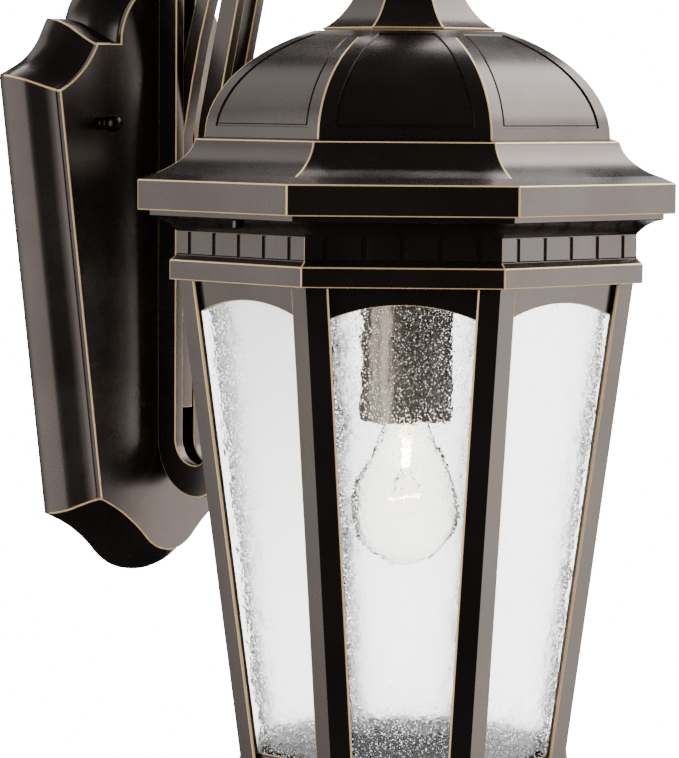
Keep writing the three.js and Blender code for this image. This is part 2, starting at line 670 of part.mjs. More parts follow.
function buildStem(parent) {
  const bore = rod(STEM_BORE, STEM_BOTTOM_Z - CUT_MARGIN, STEM_TOP_Z + CUT_MARGIN);
  const stem = cut(rod(STEM_RADIUS, STEM_BOTTOM_Z, STEM_TOP_Z), bore);
  piece(parent, "hanging_stem", stem, zincSteel);
  const eyeNutTop = EYE_BOTTOM_Z - SEAT;
  piece(parent, "eye_lock_nut", hexNut(BELL_TOP_Z + SEAT, eyeNutTop), darkScrew);
  const hoodNutTop = CROWN_Z - HOOD_WALL - SEAT;
  piece(parent, "hood_lock_nut", hexNut(hoodNutTop - NUT_HEIGHT, hoodNutTop), zincSteel);
}

// ---------------------------------------------------------------- lamp holder and bulb

function buildLampHolder(parent) {
  const cup = turned(
    closed([
      [STEM_HOLE, CUP_TOP_Z],
      [CUP_RADIUS - 2, CUP_TOP_Z],
      [CUP_RADIUS, CUP_TOP_Z - 2],
      [CUP_RADIUS, CUP_BOTTOM_Z],
      [CUP_RADIUS - CUP_WALL, CUP_BOTTOM_Z],
      [CUP_RADIUS - CUP_WALL, CUP_TOP_Z - CUP_WALL],
      [STEM_HOLE, CUP_TOP_Z - CUP_WALL],
    ]),
  );
  piece(parent, "socket_cup", cup, cupMetal);
  const nutTop = CUP_TOP_Z - CUP_WALL - SEAT;
  piece(parent, "cup_lock_nut", hexNut(nutTop - NUT_HEIGHT, nutTop), zincSteel);

  const shellInner = BULB_BASE_RADIUS + BULB_CLEARANCE;
  const shellOuter = shellInner + SHELL_WALL;
  const porcelainBore = shellOuter + SEAT;
  const floorZ = BULB_TOP_Z + PORCELAIN_FLOOR - 4;
  const porcelainBody = turned(
    closed([
      [0, PORCELAIN_TOP_Z],
      [PORCELAIN_RADIUS - 3, PORCELAIN_TOP_Z],
      [PORCELAIN_RADIUS, PORCELAIN_TOP_Z - 3],
      [PORCELAIN_RADIUS, PORCELAIN_BOTTOM_Z],
      [porcelainBore, PORCELAIN_BOTTOM_Z],
      [porcelainBore, floorZ],
      [0, floorZ],
    ]),
  );
  const seat = rod(STEM_HOLE, PORCELAIN_TOP_Z - STEM_SOCKET, PORCELAIN_TOP_Z + CUT_MARGIN);
  piece(parent, "socket_porcelain", cut(porcelainBody, seat), porcelain);

  const shellTop = floorZ - SEAT;
  const shell = turned(
    closed([
      [shellOuter, shellTop],
      [shellOuter, shellTop - SHELL_LENGTH],
      [shellInner, shellTop - SHELL_LENGTH],
      [shellInner, shellTop],
    ]),
  );
  piece(parent, "socket_screw_shell", shell, brass);
  piece(parent, "socket_contact", rod(4, BULB_TOP_Z + SEAT, floorZ - SEAT), brass);
}

function buildBulb(parent) {
  const base = turned([
    [0, BULB_TOP_Z],
    [4, BULB_TOP_Z],
    [5, BULB_TOP_Z - 1.5],
    [BULB_BASE_RADIUS - 1.5, BULB_TOP_Z - 4],
    [BULB_BASE_RADIUS, BULB_TOP_Z - BULB_BASE_SHOULDER],
    [BULB_BASE_RADIUS, BULB_BASE_BOTTOM_Z],
    [BULB_BASE_RADIUS - BULB_BASE_WALL, BULB_BASE_BOTTOM_Z],
    [BULB_BASE_RADIUS - BULB_BASE_WALL, BULB_TOP_Z - BULB_BASE_SHOULDER],
    [0, BULB_TOP_Z - BULB_BASE_SHOULDER],
  ]);
  piece(parent, "bulb_base", base, brass);

  const neckTop = BULB_BASE_BOTTOM_Z - SEAT;
  const middle = BULB_TIP_Z + BULB_RADIUS;
  const shoulder = new THREE.CubicBezierCurve(
    new THREE.Vector2(BULB_BASE_RADIUS, neckTop),
    new THREE.Vector2(BULB_BASE_RADIUS + 0.5, neckTop - 18),
    new THREE.Vector2(BULB_RADIUS, middle + 24),
    new THREE.Vector2(BULB_RADIUS, middle),
  ).getPoints(CURVE_STEPS);
  const globe = new THREE.EllipseCurve(0, middle, BULB_RADIUS, BULB_RADIUS, 0, -Math.PI / 2, true);
  const outside = [...shoulder, ...globe.getPoints(CURVE_STEPS - 1).slice(1)];
  const inside = offsetOutline(outside, BULB_GLASS, false).reverse();
  inside[0].x = 0;
  inside[inside.length - 1].y = neckTop;
  const rim = [outside[0].x, outside[0].y];
  const wall = [...outside, ...inside].map((point) => [Math.max(point.x, 0), point.y]);
  piece(parent, "bulb_glass", turned([...wall, rim]), bulbGlass);

  const stemTop = neckTop;
  const leadTop = stemTop - 24;
  const filamentZ = middle + 8;
  const pillar = turned([
    [0, stemTop],
    [BULB_BASE_RADIUS - BULB_GLASS - SEAT, stemTop],
    [4, stemTop - 8],
    [2.6, leadTop],
    [0, leadTop - 2],
  ], 12);
  const wireRoute = new THREE.CatmullRomCurve3([
    new THREE.Vector3(-1.2, 0, leadTop + 3),
    new THREE.Vector3(-5, 0, leadTop - 7),
    new THREE.Vector3(-11, 0, filamentZ),
    new THREE.Vector3(-7, 6, filamentZ - 2),
    new THREE.Vector3(0, 8, filamentZ - 3),
    new THREE.Vector3(7, 6, filamentZ - 2),
    new THREE.Vector3(11, 0, filamentZ),
    new THREE.Vector3(5, 0, leadTop - 7),
    new THREE.Vector3(1.2, 0, leadTop + 3),
  ]);
  const wireSection = new THREE.Shape().absarc(0, 0, 0.45, 0, 2 * Math.PI, false);
  const wire = new THREE.ExtrudeGeometry(wireSection, {
    steps: 32,
    curveSegments: 3,
    extrudePath: wireRoute,
  });
  piece(parent, "bulb_filament", join(pillar, wire), tungsten);
}

// ---------------------------------------------------------------- cage

function buildCrown(parent) {
  const cove = new THREE.QuadraticBezierCurve(
    new THREE.Vector2(FLANGE_APOTHEM, FLANGE_BOTTOM_Z),
    new THREE.Vector2(130.6, -50.3),
    new THREE.Vector2(FRIEZE_APOTHEM, FRIEZE_TOP_Z),
  ).getPoints(CURVE_STEPS - 3);
  const inner = FRIEZE_APOTHEM - FRIEZE_WALL;
  const bandInner = cageApothem(CAGE_TOP_Z, RETAINER_RECESS + RETAINER_THICKNESS);
  const body = octagonal(
    closed([
      [FLANGE_APOTHEM, FLANGE_TOP_Z],
      ...cove.map((point) => [point.x, point.y]),
      [FRIEZE_APOTHEM, FRIEZE_BOTTOM_Z],
      [BAND_APOTHEM, BAND_TOP_Z],
      [BAND_APOTHEM, BAND_BOTTOM_Z],
      [bandInner, BAND_BOTTOM_Z],
      [bandInner, BAND_BOTTOM_Z + 3],
      [inner, BAND_TOP_Z],
      [inner, FRIEZE_TOP_Z],
      [inner + 6, FLANGE_TOP_Z],
    ]),
  );
  const tools = [];
  for (let side = 0; side < SIDES; side++) {
    for (let gap = 0; gap < DENTIL_GAPS_PER_FACE; gap++) {
      const along = (gap - (DENTIL_GAPS_PER_FACE - 1) / 2) * DENTIL_PITCH;
      const groove = box(
        FRIEZE_APOTHEM - DENTIL_DEPTH,
        FRIEZE_APOTHEM + CUT_MARGIN,
        along - DENTIL_GAP / 2,
        along + DENTIL_GAP / 2,
        FRIEZE_BOTTOM_Z,
        FRIEZE_TOP_Z,
      );
      tools.push(groove.rotateZ(2 * HALF_SIDE_ANGLE * side));
    }
  }
  for (const [, x] of thumbPlaces) {
    tools.push(rod(THUMB_SHANK + SCREW_CLEARANCE, EAVE_BOTTOM_Z - 12, EAVE_BOTTOM_Z + 6, x, THUMB_OFFSET));
    tools.push(rod(THUMB_HEAD + 2 * SCREW_CLEARANCE, FRIEZE_TOP_Z - 2, FLANGE_BOTTOM_Z, x, THUMB_OFFSET));
  }
  piece(parent, "cage_crown", cut(body, ...tools), castMetal);
}

// A tapered ring that follows the cage's faces, `recess` behind them, between two heights.
function cageRing(top, bottom, recess, thickness) {
  return octagonal(
    closed([
      [cageApothem(top, recess), top],
      [cageApothem(bottom, recess), bottom],
      [cageApothem(bottom, recess + thickness), bottom],
      [cageApothem(top, recess + thickness), top],
    ]),
  );
}

function buildHeader(parent) {
  const rise = HEADER_DROP - ARCH_CROWN_DROP;
  const archRadius = (ARCH_HALF_SPAN ** 2 + rise ** 2) / (2 * rise);
  const archCentre = BAND_BOTTOM_Z - ARCH_CROWN_DROP - archRadius;
  const bottom = BAND_BOTTOM_Z - HEADER_DROP;
  const arches = [];
  for (let side = 0; side < SIDES; side++) {
    const reach = CAGE_TOP_APOTHEM + CUT_MARGIN;
    const arch = rodAlongX(archRadius, reach / 2, reach, 0, archCentre, 96);
    arches.push(arch.rotateZ(2 * HALF_SIDE_ANGLE * side));
  }
  const ring = cageRing(CAGE_TOP_Z, bottom, HEADER_RECESS, HEADER_THICKNESS);
  piece(parent, "arched_header", cut(ring, ...arches), castMetal);
  const retainerTop = CAGE_TOP_Z;
  const retainer = cageRing(retainerTop, retainerTop - RETAINER_HEIGHT, RETAINER_RECESS, RETAINER_THICKNESS);
  piece(parent, "pane_retainer", retainer, zincSteel);
  const rail = cageRing(RAIL_TOP_Z, CAGE_BOTTOM_Z, HEADER_RECESS, HEADER_THICKNESS);
  piece(parent, "bottom_rail", rail, castMetal);
}

// One corner post: an angle section, swept down the cage's slanting corner.
function postGeometry() {
  const corner = (apothem) => apothem / Math.cos(HALF_SIDE_ANGLE);
  const [sin, cos] = [Math.sin(HALF_SIDE_ANGLE), Math.cos(HALF_SIDE_ANGLE)];
  const thickness = POST_THICKNESS / Math.cos(CAGE_TILT);
  const outer = corner(cageApothem(CAGE_BOTTOM_Z));
  const inner = outer - corner(thickness);
  const arm = (side) => [
    new THREE.Vector2(outer - POST_WIDTH * sin, side * POST_WIDTH * cos),
    new THREE.Vector2(outer - POST_WIDTH * sin - thickness * cos, side * (POST_WIDTH * cos - thickness * sin)),
  ];
  const [outerEnd, innerEnd] = arm(1);
  const [outerStart, innerStart] = arm(-1);
  const section = new THREE.Shape([
    new THREE.Vector2(outer, 0),
    outerEnd,
    innerEnd,
    new THREE.Vector2(inner, 0),
    innerStart,
    outerStart,
  ]);
  const height = CAGE_TOP_Z - CAGE_BOTTOM_Z;
  const post = new THREE.ExtrudeGeometry(section, { depth: height, bevelEnabled: false });
  const lean = corner(CAGE_TAPER);
  const slant = new THREE.Matrix4().set(1, 0, lean, 0, 0, 1, 0, 0, 0, 0, 1, CAGE_BOTTOM_Z, 0, 0, 0, 1);
  return post.applyMatrix4(slant);
}

// One pane: a trapezoid that stands behind the arched header and the bottom rail.
function paneGeometry() {
  const halfWidth = (z) => cageApothem(z, PANE_RECESS + PANE_THICKNESS) * Math.tan(HALF_SIDE_ANGLE) - SEAT;
  const pane = new THREE.Shape([
    new THREE.Vector2(-halfWidth(CAGE_BOTTOM_Z), CAGE_BOTTOM_Z),
    new THREE.Vector2(halfWidth(CAGE_BOTTOM_Z), CAGE_BOTTOM_Z),
    new THREE.Vector2(halfWidth(CAGE_TOP_Z), CAGE_TOP_Z),
    new THREE.Vector2(-halfWidth(CAGE_TOP_Z), CAGE_TOP_Z),
  ]);
  const depth = PANE_THICKNESS / Math.cos(CAGE_TILT);
  const sheet = new THREE.ExtrudeGeometry(pane, { depth, bevelEnabled: false });
  // the sheet's width goes to Y, its height to Z and its thickness to X, leaning with the cage's faces
  const inside = cageApothem(0, PANE_RECESS) - depth;
  const lean = new THREE.Matrix4().set(0, CAGE_TAPER, 1, inside, 1, 0, 0, 0, 0, 1, 0, 0, 0, 0, 0, 1);
  return sheet.applyMatrix4(lean);
}

function buildGlazing(parent) {
  const post = postGeometry();
  const pane = paneGeometry();
  for (let i = 0; i < SIDES; i++) {
    const cornerAngle = HALF_SIDE_ANGLE * (2 * i + 1);
    const faceAngle = HALF_SIDE_ANGLE * 2 * i;
    piece(parent, "corner_post_" + (i + 1), post.clone().rotateZ(cornerAngle), castMetal);
    piece(parent, "glass_pane_" + (i + 1), pane.clone().rotateZ(faceAngle), seededGlass);
  }
}

function buildBase(parent) {
  const bandBottom = PAN_TOP_Z - PAN_BAND_HEIGHT;
  const sweep = new THREE.CubicBezierCurve(
    new THREE.Vector2(PAN_APOTHEM - 5, bandBottom - 2),
    new THREE.Vector2(PAN_APOTHEM - 22, bandBottom - 8),
    new THREE.Vector2(PAN_BOTTOM_APOTHEM + 14, bandBottom - 20),
    new THREE.Vector2(PAN_BOTTOM_APOTHEM, PAN_BOTTOM_Z + 5),
  ).getPoints(CURVE_STEPS);
  const outside = [
    new THREE.Vector2(PAN_APOTHEM, bandBottom),
    ...sweep,
    new THREE.Vector2(PAN_BOTTOM_APOTHEM, PAN_BOTTOM_Z),
  ];
  const hollow = sweep.slice(1, -1).map((point) => [point.x - PAN_WALL, point.y + PAN_WALL]);
  const studHole = FINIAL_STUD_RADIUS + SCREW_CLEARANCE;
  const pan = octagonal(
    closed([
      [PAN_APOTHEM, PAN_TOP_Z],
      ...outside.map((point) => [point.x, point.y]),
      [studHole, PAN_BOTTOM_Z],
      [studHole, PAN_BOTTOM_Z + PAN_WALL],
      [PAN_BOTTOM_APOTHEM - PAN_WALL, PAN_BOTTOM_Z + PAN_WALL],
      ...hollow.reverse(),
      [PAN_APOTHEM - PAN_LEDGE, bandBottom + PAN_WALL],
      [PAN_APOTHEM - PAN_LEDGE, PAN_TOP_Z],
    ]),
  );
  piece(parent, "base_pan", pan, castMetal);

  const top = PAN_BOTTOM_Z - SEAT;
  const studTop = PAN_BOTTOM_Z + PAN_WALL + NUT_HEIGHT + 1;
  const ballCentre = top - FINIAL_DROP + FINIAL_RADIUS + 4;
  const ball = [50, 25, 0, -25, -50, -70].map((degrees) => {
    const angle = THREE.MathUtils.degToRad(degrees);
    return [FINIAL_RADIUS * Math.cos(angle), ballCentre + FINIAL_RADIUS * Math.sin(angle)];
  });
  const finial = turned([
    [0, studTop],
    [FINIAL_STUD_RADIUS, studTop],
    [FINIAL_STUD_RADIUS, top],
    [FINIAL_RADIUS + 2, top],
    [FINIAL_RADIUS + 2, top - 2.5],
    [FINIAL_RADIUS - 5, top - 5],
    [FINIAL_RADIUS - 7, top - 8],
    ...ball,
    [2, top - FINIAL_DROP + 1.5],
    [0, top - FINIAL_DROP],
  ], SMALL_ROUND);
  piece(parent, "base_finial", finial, castMetal);
  const nutBottom = PAN_BOTTOM_Z + PAN_WALL + SEAT;
  const nut = cut(
    rod(2 * FINIAL_STUD_RADIUS, nutBottom, nutBottom + NUT_HEIGHT, 0, 0, 6),
    rod(studHole, nutBottom - CUT_MARGIN, nutBottom + NUT_HEIGHT + CUT_MARGIN),
  );
  piece(parent, "finial_nut", nut, zincSteel);
}

function buildThumbScrews(parent) {
  const headTop = FLANGE_BOTTOM_Z - SEAT;
  for (const [side, x] of thumbPlaces) {
    const screw = turned([
      [0, FLANGE_TOP_Z + THUMB_ENGAGEMENT],
      [THUMB_SHANK, FLANGE_TOP_Z + THUMB_ENGAGEMENT],
      [THUMB_SHANK, headTop],
      [THUMB_HEAD, headTop],
      [THUMB_HEAD, headTop - THUMB_HEAD_HEIGHT + 1.2],
      [THUMB_HEAD - 1.2, headTop - THUMB_HEAD_HEIGHT],
      [0, headTop - THUMB_HEAD_HEIGHT],
    ], SMALL_ROUND);
    piece(parent, "thumb_screw_" + side, screw.translate(x, THUMB_OFFSET, 0), zincSteel);
  }
}

// ---------------------------------------------------------------- assembly

const wallLantern = new THREE.Group();
const bracket = new THREE.Group();
const lantern = new THREE.Group();
lantern.position.set(0, LANTERN_Y, 0);
wallLantern.add(bracket, lantern);

buildBackplate(bracket);
buildWallFixing(bracket);
buildArm(bracket);
buildHood(lantern);
buildStem(lantern);
buildLampHolder(lantern);
buildBulb(lantern);
buildCrown(lantern);
buildHeader(lantern);
buildGlazing(lantern);
buildBase(lantern);
buildThumbScrews(lantern);

export default wallLantern;
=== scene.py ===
"""Outdoor wall lantern: a shaped wall plate, a hook arm, and an octagonal lantern with seeded glass."""

import json
import logging
import math
from collections.abc import Callable, Sequence
from dataclasses import dataclass
from enum import Enum
from itertools import pairwise

import bmesh
import bpy
from mathutils import Matrix, Quaternion, Vector

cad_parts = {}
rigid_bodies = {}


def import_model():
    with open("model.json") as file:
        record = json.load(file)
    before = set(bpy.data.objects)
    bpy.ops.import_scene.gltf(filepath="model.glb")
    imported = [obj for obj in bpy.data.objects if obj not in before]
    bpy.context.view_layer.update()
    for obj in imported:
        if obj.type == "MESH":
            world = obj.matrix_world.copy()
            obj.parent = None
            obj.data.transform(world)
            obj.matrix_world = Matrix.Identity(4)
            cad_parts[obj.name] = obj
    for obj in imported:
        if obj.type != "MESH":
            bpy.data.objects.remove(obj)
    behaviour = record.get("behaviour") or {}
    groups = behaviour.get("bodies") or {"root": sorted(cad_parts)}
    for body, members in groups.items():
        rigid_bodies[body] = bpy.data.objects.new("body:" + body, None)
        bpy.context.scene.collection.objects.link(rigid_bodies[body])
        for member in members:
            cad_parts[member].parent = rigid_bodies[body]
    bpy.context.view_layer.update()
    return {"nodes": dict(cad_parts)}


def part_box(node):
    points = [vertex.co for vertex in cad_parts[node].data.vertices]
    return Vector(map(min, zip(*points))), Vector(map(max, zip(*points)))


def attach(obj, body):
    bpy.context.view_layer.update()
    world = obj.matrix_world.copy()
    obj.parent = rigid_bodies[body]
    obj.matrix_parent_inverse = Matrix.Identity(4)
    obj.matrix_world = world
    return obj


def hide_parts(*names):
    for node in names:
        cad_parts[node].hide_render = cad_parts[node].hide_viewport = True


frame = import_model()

LOG = logging.getLogger("lantern")
MM = 0.001
SIDES = 8
SECTOR = 2 * math.pi / SIDES
CORNER = SECTOR / 2
TINY = 1e-6

# Facets round large, middling, small and threaded pieces.
ROUND_STEPS = 64
MIDDLE_STEPS = 48
SMALL_STEPS = 36
THREAD_STEPS = 28

# Sizes that several pieces share, in millimetres: the gap that seated pieces keep, how far the
# posts lean in for each millimetre down, the hole for the stem, the plate's depth, and how far
# the studs and the thumb screws stand from the middle.
SEAT = 0.3
TAPER = 0.127
TILT = math.atan(TAPER)
STEM_HOLE = 5.2
PLATE_DEPTH = 37.5
STUD_SIDE = 55.5
THUMB_SIDE = 135.5

Point = tuple[float, float]
Place = Sequence[float]
Colour = tuple[float, float, float]
Piece = bpy.types.Object
Mesh = bpy.types.Mesh
Material = bpy.types.Material
Tree = bpy.types.ShaderNodeTree
Node = bpy.types.Node
Socket = bpy.types.NodeSocket
Edge = bmesh.types.BMEdge
Face = bmesh.types.BMFace
EdgeTest = Callable[[Edge], bool]


class Direction(Enum):
    """The way a turned piece points, from its foot to its tip."""

    UP = (0.0, 0.0, 1.0)
    DOWN = (0.0, 0.0, -1.0)
    FORWARD = (0.0, -1.0, 0.0)
    BACKWARD = (0.0, 1.0, 0.0)
    LEFT = (-1.0, 0.0, 0.0)
    RIGHT = (1.0, 0.0, 0.0)


class Body(Enum):
    """The moving bodies of the lantern."""

    BRACKET = "bracket"
    CAGE = "cage"
    BULB = "bulb"
    THUMB_LEFT = "thumb_screw_left"
    THUMB_RIGHT = "thumb_screw_right"
    CAP_LEFT = "cap_nut_left"
    CAP_RIGHT = "cap_nut_right"


class Slot(Enum):
    """The record's material slots."""

    CASTING = "bronze_casting"
    HARDWARE = "dark_hardware"
    ZINC = "zinc_steel"
    BRASS = "brass"
    CUP = "socket_cup"
    PORCELAIN = "porcelain"
    SEEDED = "seeded_glass"
    BULB_GLASS = "bulb_glass"
    FILAMENT = "filament"


# ---------------------------------------------------------------- outlines


def bezier(points: Sequence[Point], steps: int) -> list[Point]:
    """Points along a Bezier curve of any degree, without its first point.

    Args:
        points: the control points.
        steps: how many pieces the curve is cut into.

    Returns:
        The points after the first one.
    """
    made = []
    for step in range(1, steps + 1):
        t = step / steps
        row = [Vector(p) for p in points]
        while len(row) > 1:
            row = [a.lerp(b, t) for a, b in pairwise(row)]
        made.append((row[0].x, row[0].y))
    return made


def arc(centre: Point, radius: float, start: float, end: float, steps: int) -> list[Point]:
    """Points along an arc, both ends included, with angles in degrees."""
    angles = [math.radians(start + (end - start) * i / steps) for i in range(steps + 1)]
    return [(centre[0] + radius * math.cos(a), centre[1] + radius * math.sin(a)) for a in angles]


def offset(points: Sequence[Point], distance: float, closed: bool = True) -> list[Point]:
    """An outline moved to the right of its direction, with mitred corners.

    Args:
        points: the outline.
        distance: how far it moves.
        closed: whether the outline joins its last point to its first.

    Returns:
        The moved outline, point for point.
    """
    count = len(points)
    made = []
    for i, point in enumerate(points):
        here = Vector(point)
        first, last = not closed and i == 0, not closed and i == count - 1
        before, after = Vector(points[i - 1]), Vector(points[(i + 1) % count])
        run_in = (after - here if first else here - before).normalized()
        run_out = (run_in if last else after - here).normalized()
        normals = Vector((run_in.y, -run_in.x)), Vector((run_out.y, -run_out.x))
        mitre = (normals[0] + normals[1]) / (1 + normals[0].dot(normals[1]))
        made.append(tuple(here + mitre * distance))
    return made


# ---------------------------------------------------------------- bench


def take(piece: Piece) -> None:
    """Selects one piece and makes it active.

    Args:
        piece: the piece to work on.
    """
    bpy.ops.object.select_all(action="DESELECT")
    piece.select_set(True)
    bpy.context.view_layer.objects.active = piece


class Bench:
    """A modelling bench for one piece: every method is one step of work on it, in millimetres."""

    def __init__(self, name: str) -> None:
        """Lays out an empty piece.

        Args:
            name: the piece's name.
        """
        bpy.ops.object.select_all(action="DESELECT")
        bpy.ops.mesh.primitive_plane_add(size=MM, location=(0, 0, 0))
        self.piece: Piece = bpy.context.active_object
        self.piece.name = self.piece.data.name = name
        bpy.ops.object.mode_set(mode="EDIT")
        bpy.ops.mesh.delete(type="VERT")

    def wire(self, points: Sequence[Place], closed: bool = False) -> None:
        """Draws a wire by pulling one vertex from point to point.

        Args:
            points: places in millimetres.
            closed: whether the wire joins up with its start.
        """
        places = [Vector(p) * MM for p in points]
        bpy.ops.mesh.select_mode(type="VERT")
        bpy.ops.mesh.primitive_plane_add(size=MM / 10, location=places[0])
        bpy.ops.mesh.merge(type="CENTER")
        for before, after in pairwise(places):
            bpy.ops.mesh.extrude_region_move(TRANSFORM_OT_translate={"value": tuple(after - before)})
        if closed:
            work = bmesh.from_edit_mesh(self.piece.data)
            loose = [v for v in work.verts if len(v.link_edges) == 1]
            ends = [min(loose, key=lambda v, p=p: (v.co - p).length) for p in (places[0], places[-1])]
            for vert in work.verts:
                vert.select_set(vert in ends)
            bpy.ops.mesh.edge_face_add()

    def pick(self, test: Callable, kind: str = "FACE") -> int:
        """Selects the faces or edges that pass a test, and nothing else.

        Args:
            test: says whether a face or edge belongs.
            kind: FACE or EDGE.

        Returns:
            How many were selected.
        """
        bpy.ops.mesh.select_all(action="DESELECT")
        bpy.ops.mesh.select_mode(type=kind)
        work = bmesh.from_edit_mesh(self.piece.data)
        work.normal_update()
        found = [x for x in (work.faces if kind == "FACE" else work.edges) if test(x)]
        for item in found:
            item.select_set(True)
        work.select_flush_mode()
        bmesh.update_edit_mesh(self.piece.data)
        return len(found)

    def everything(self) -> None:
        """Selects the whole piece."""
        bpy.ops.mesh.select_all(action="SELECT")

    def tidy(self) -> None:
        """Merges doubled vertices and turns every face outwards."""
        self.everything()
        bpy.ops.mesh.remove_doubles(threshold=TINY)
        bpy.ops.mesh.normals_make_consistent(inside=False)

    def fill(self) -> None:
        """Fills between the wires that were drawn in one plane."""
        self.everything()
        bpy.ops.mesh.fill(use_beauty=True)

    def face(self, points: Sequence[Place]) -> None:
        """Draws a closed wire and fills it with one face.

        Args:
            points: the wire's places in millimetres.
        """
        self.wire(points, closed=True)
        bpy.ops.mesh.select_linked()
        bpy.ops.mesh.edge_face_add()

    def loft(self, loops: Sequence[Sequence[Place]]) -> None:
        """Draws closed wires and bridges each to the one before.

        Args:
            loops: wires of the same count, each in a plane across Y.
        """
        for i, loop in enumerate(loops):
            self.wire(loop, closed=True)
            if i:
                planes = [loops[i - 1][0][1] * MM, loop[0][1] * MM]
                self.pick(
                    lambda edge, planes=planes: len(edge.link_faces) < 2
                    and any(all(abs(v.co.y - y) < TINY for v in edge.verts) for y in planes),
                    "EDGE",
                )
                bpy.ops.mesh.bridge_edge_loops()

    def extrude(self, way: Place) -> None:
        """Pulls what is selected along a way in millimetres."""
        value = tuple(Vector(way) * MM)
        bpy.ops.mesh.extrude_region_move(TRANSFORM_OT_translate={"value": value})

    def inset(self, thickness: float, depth: float, individual: bool = False) -> None:
        """Insets the selected faces by a thickness and a depth in millimetres."""
        bpy.ops.mesh.inset(thickness=thickness * MM, depth=depth * MM, use_individual=individual)

    def cut_plane(self, place: Place, normal: Place) -> None:
        """Cuts the selected faces along a plane through a place in millimetres."""
        bpy.ops.mesh.bisect(plane_co=tuple(Vector(place) * MM), plane_no=tuple(normal))

    def turn(self, steps: int) -> None:
        """Turns the wire once round the Z axis.

        Args:
            steps: how many facets it gets.
        """
        self.everything()
        bpy.ops.mesh.spin(steps=steps, angle=2 * math.pi, center=(0, 0, 0), axis=(0, 0, 1))
        self.tidy()

    def sector(self, profile: Sequence[Point], closed: bool = True) -> None:
        """Spans one of the eight sides, facing +X.

        Args:
            profile: apothems and heights.
            closed: whether the profile joins its end to its start.
        """
        corner = [(a, a * math.tan(CORNER), z) for a, z in profile]
        self.wire(corner, closed)
        self.everything()
        bpy.ops.mesh.spin(steps=1, angle=SECTOR, center=(0, 0, 0), axis=(0, 0, 1))
        self.tidy()

    def ring(self) -> None:
        """Repeats the side all round, and joins the eight."""
        self.everything()
        bpy.ops.mesh.spin(
            steps=SIDES - 1, angle=SECTOR * (SIDES - 1), dupli=True, center=(0, 0, 0), axis=(0, 0, 1)
        )
        self.everything()
        bpy.ops.mesh.remove_doubles(threshold=20 * TINY)
        bpy.ops.mesh.normals_make_consistent(inside=False)

    def bevel(self, width: float, test: EdgeTest, segments: int = 4, rubbed: bool = True) -> None:
        """Rounds the edges that pass a test, and marks them as rubbed or not.

        Args:
            width: the bevel's width in millimetres.
            test: says whether an edge belongs.
            segments: facets across the rounding.
            rubbed: whether the coating is rubbed through there.
        """
        while len(self.piece.data.materials) < 2:
            self.piece.data.materials.append(None)
        if self.pick(test, "EDGE"):
            bpy.ops.mesh.bevel(
                offset=width * MM,
                offset_type="OFFSET",
                segments=segments,
                profile=0.5,
                clamp_overlap=True,
                material=1 if rubbed else 0,
            )

    def place(self, location: Place = (0, 0, 0), turn: Quaternion | None = None) -> None:
        """Moves the mesh to its place, and leaves the object at the origin.

        Args:
            location: the place in millimetres.
            turn: how the mesh is turned first.
        """
        bpy.ops.object.mode_set(mode="OBJECT")
        take(self.piece)
        if turn is not None:
            self.piece.rotation_mode = "QUATERNION"
            self.piece.rotation_quaternion = turn
        self.piece.location = Vector(location) * MM
        bpy.ops.object.transform_apply(location=True, rotation=True, scale=True)
        self.piece.rotation_mode = "XYZ"
        bpy.ops.object.mode_set(mode="EDIT")

    def finish(self, smooth: float = 30, weighted: bool = True) -> Piece:
        """Leaves edit mode, marks the rubbed edges and shades the piece.

        Args:
            smooth: the largest angle that is shaded as a curve, in degrees.
            weighted: whether large faces keep their flat shading.

        Returns:
            The finished object.
        """
        bpy.ops.object.mode_set(mode="OBJECT")
        mesh = self.piece.data
        mark_rubbed(mesh)
        mesh.materials.clear()
        take(self.piece)
        bpy.ops.object.shade_smooth_by_angle(angle=math.radians(smooth))
        if weighted:
            bpy.ops.object.modifier_add(type="WEIGHTED_NORMAL")
            self.piece.modifiers[-1].keep_sharp = True
            bpy.ops.object.modifier_apply(modifier=self.piece.modifiers[-1].name)
        self.piece.select_set(False)
        return self.piece


def mark_rubbed(mesh: Mesh) -> None:
    """Writes how far each vertex lies inside a rubbed edge into the attribute rub.

    Args:
        mesh: a mesh whose rubbed faces use the second material.
    """
    plain = set()
    for face in mesh.polygons:
        if face.material_index != 1:
            plain.update(face.vertices)
    rubbed = {v for face in mesh.polygons if face.material_index == 1 for v in face.vertices}
    values = [1.0 if i in rubbed and i not in plain else 0.0 for i in range(len(mesh.vertices))]
    attribute = mesh.attributes.new("rub", "FLOAT", "POINT")
    attribute.data.foreach_set("value", values)
    mesh.polygons.foreach_set("material_index", [0] * len(mesh.polygons))


def convex(angle: float, where: EdgeTest = lambda edge: True) -> EdgeTest:
    """A test for sharp outer edges.

    Args:
        angle: the least angle in degrees.
        where: a further test on the edge.

    Returns:
        The test.
    """
    least = math.radians(angle)

    def test(edge: Edge) -> bool:
        """True for a sharp outer edge at the wanted place."""
        return len(edge.link_faces) == 2 and edge.calc_face_angle_signed(0) > least and where(edge)

    return test


def middle(edge: Edge) -> Vector:
    """The middle of an edge, in millimetres."""
    return (edge.verts[0].co + edge.verts[1].co) / 2 / MM


def outside(edge: Edge, inner: float) -> bool:
    """True if an edge's ends are both farther than inner from the Z axis, in millimetres."""
    return all(v.co.xy.length / MM > inner for v in edge.verts)


# ---------------------------------------------------------------- shader groups


def dial(node: Node, **values: object) -> None:
    """Sets a node's inputs.

    Args:
        node: the node.
        values: its inputs' values, with _ for a space in a name.
    """
    for name, value in values.items():
        node.inputs[name.replace("_", " ")].default_value = value


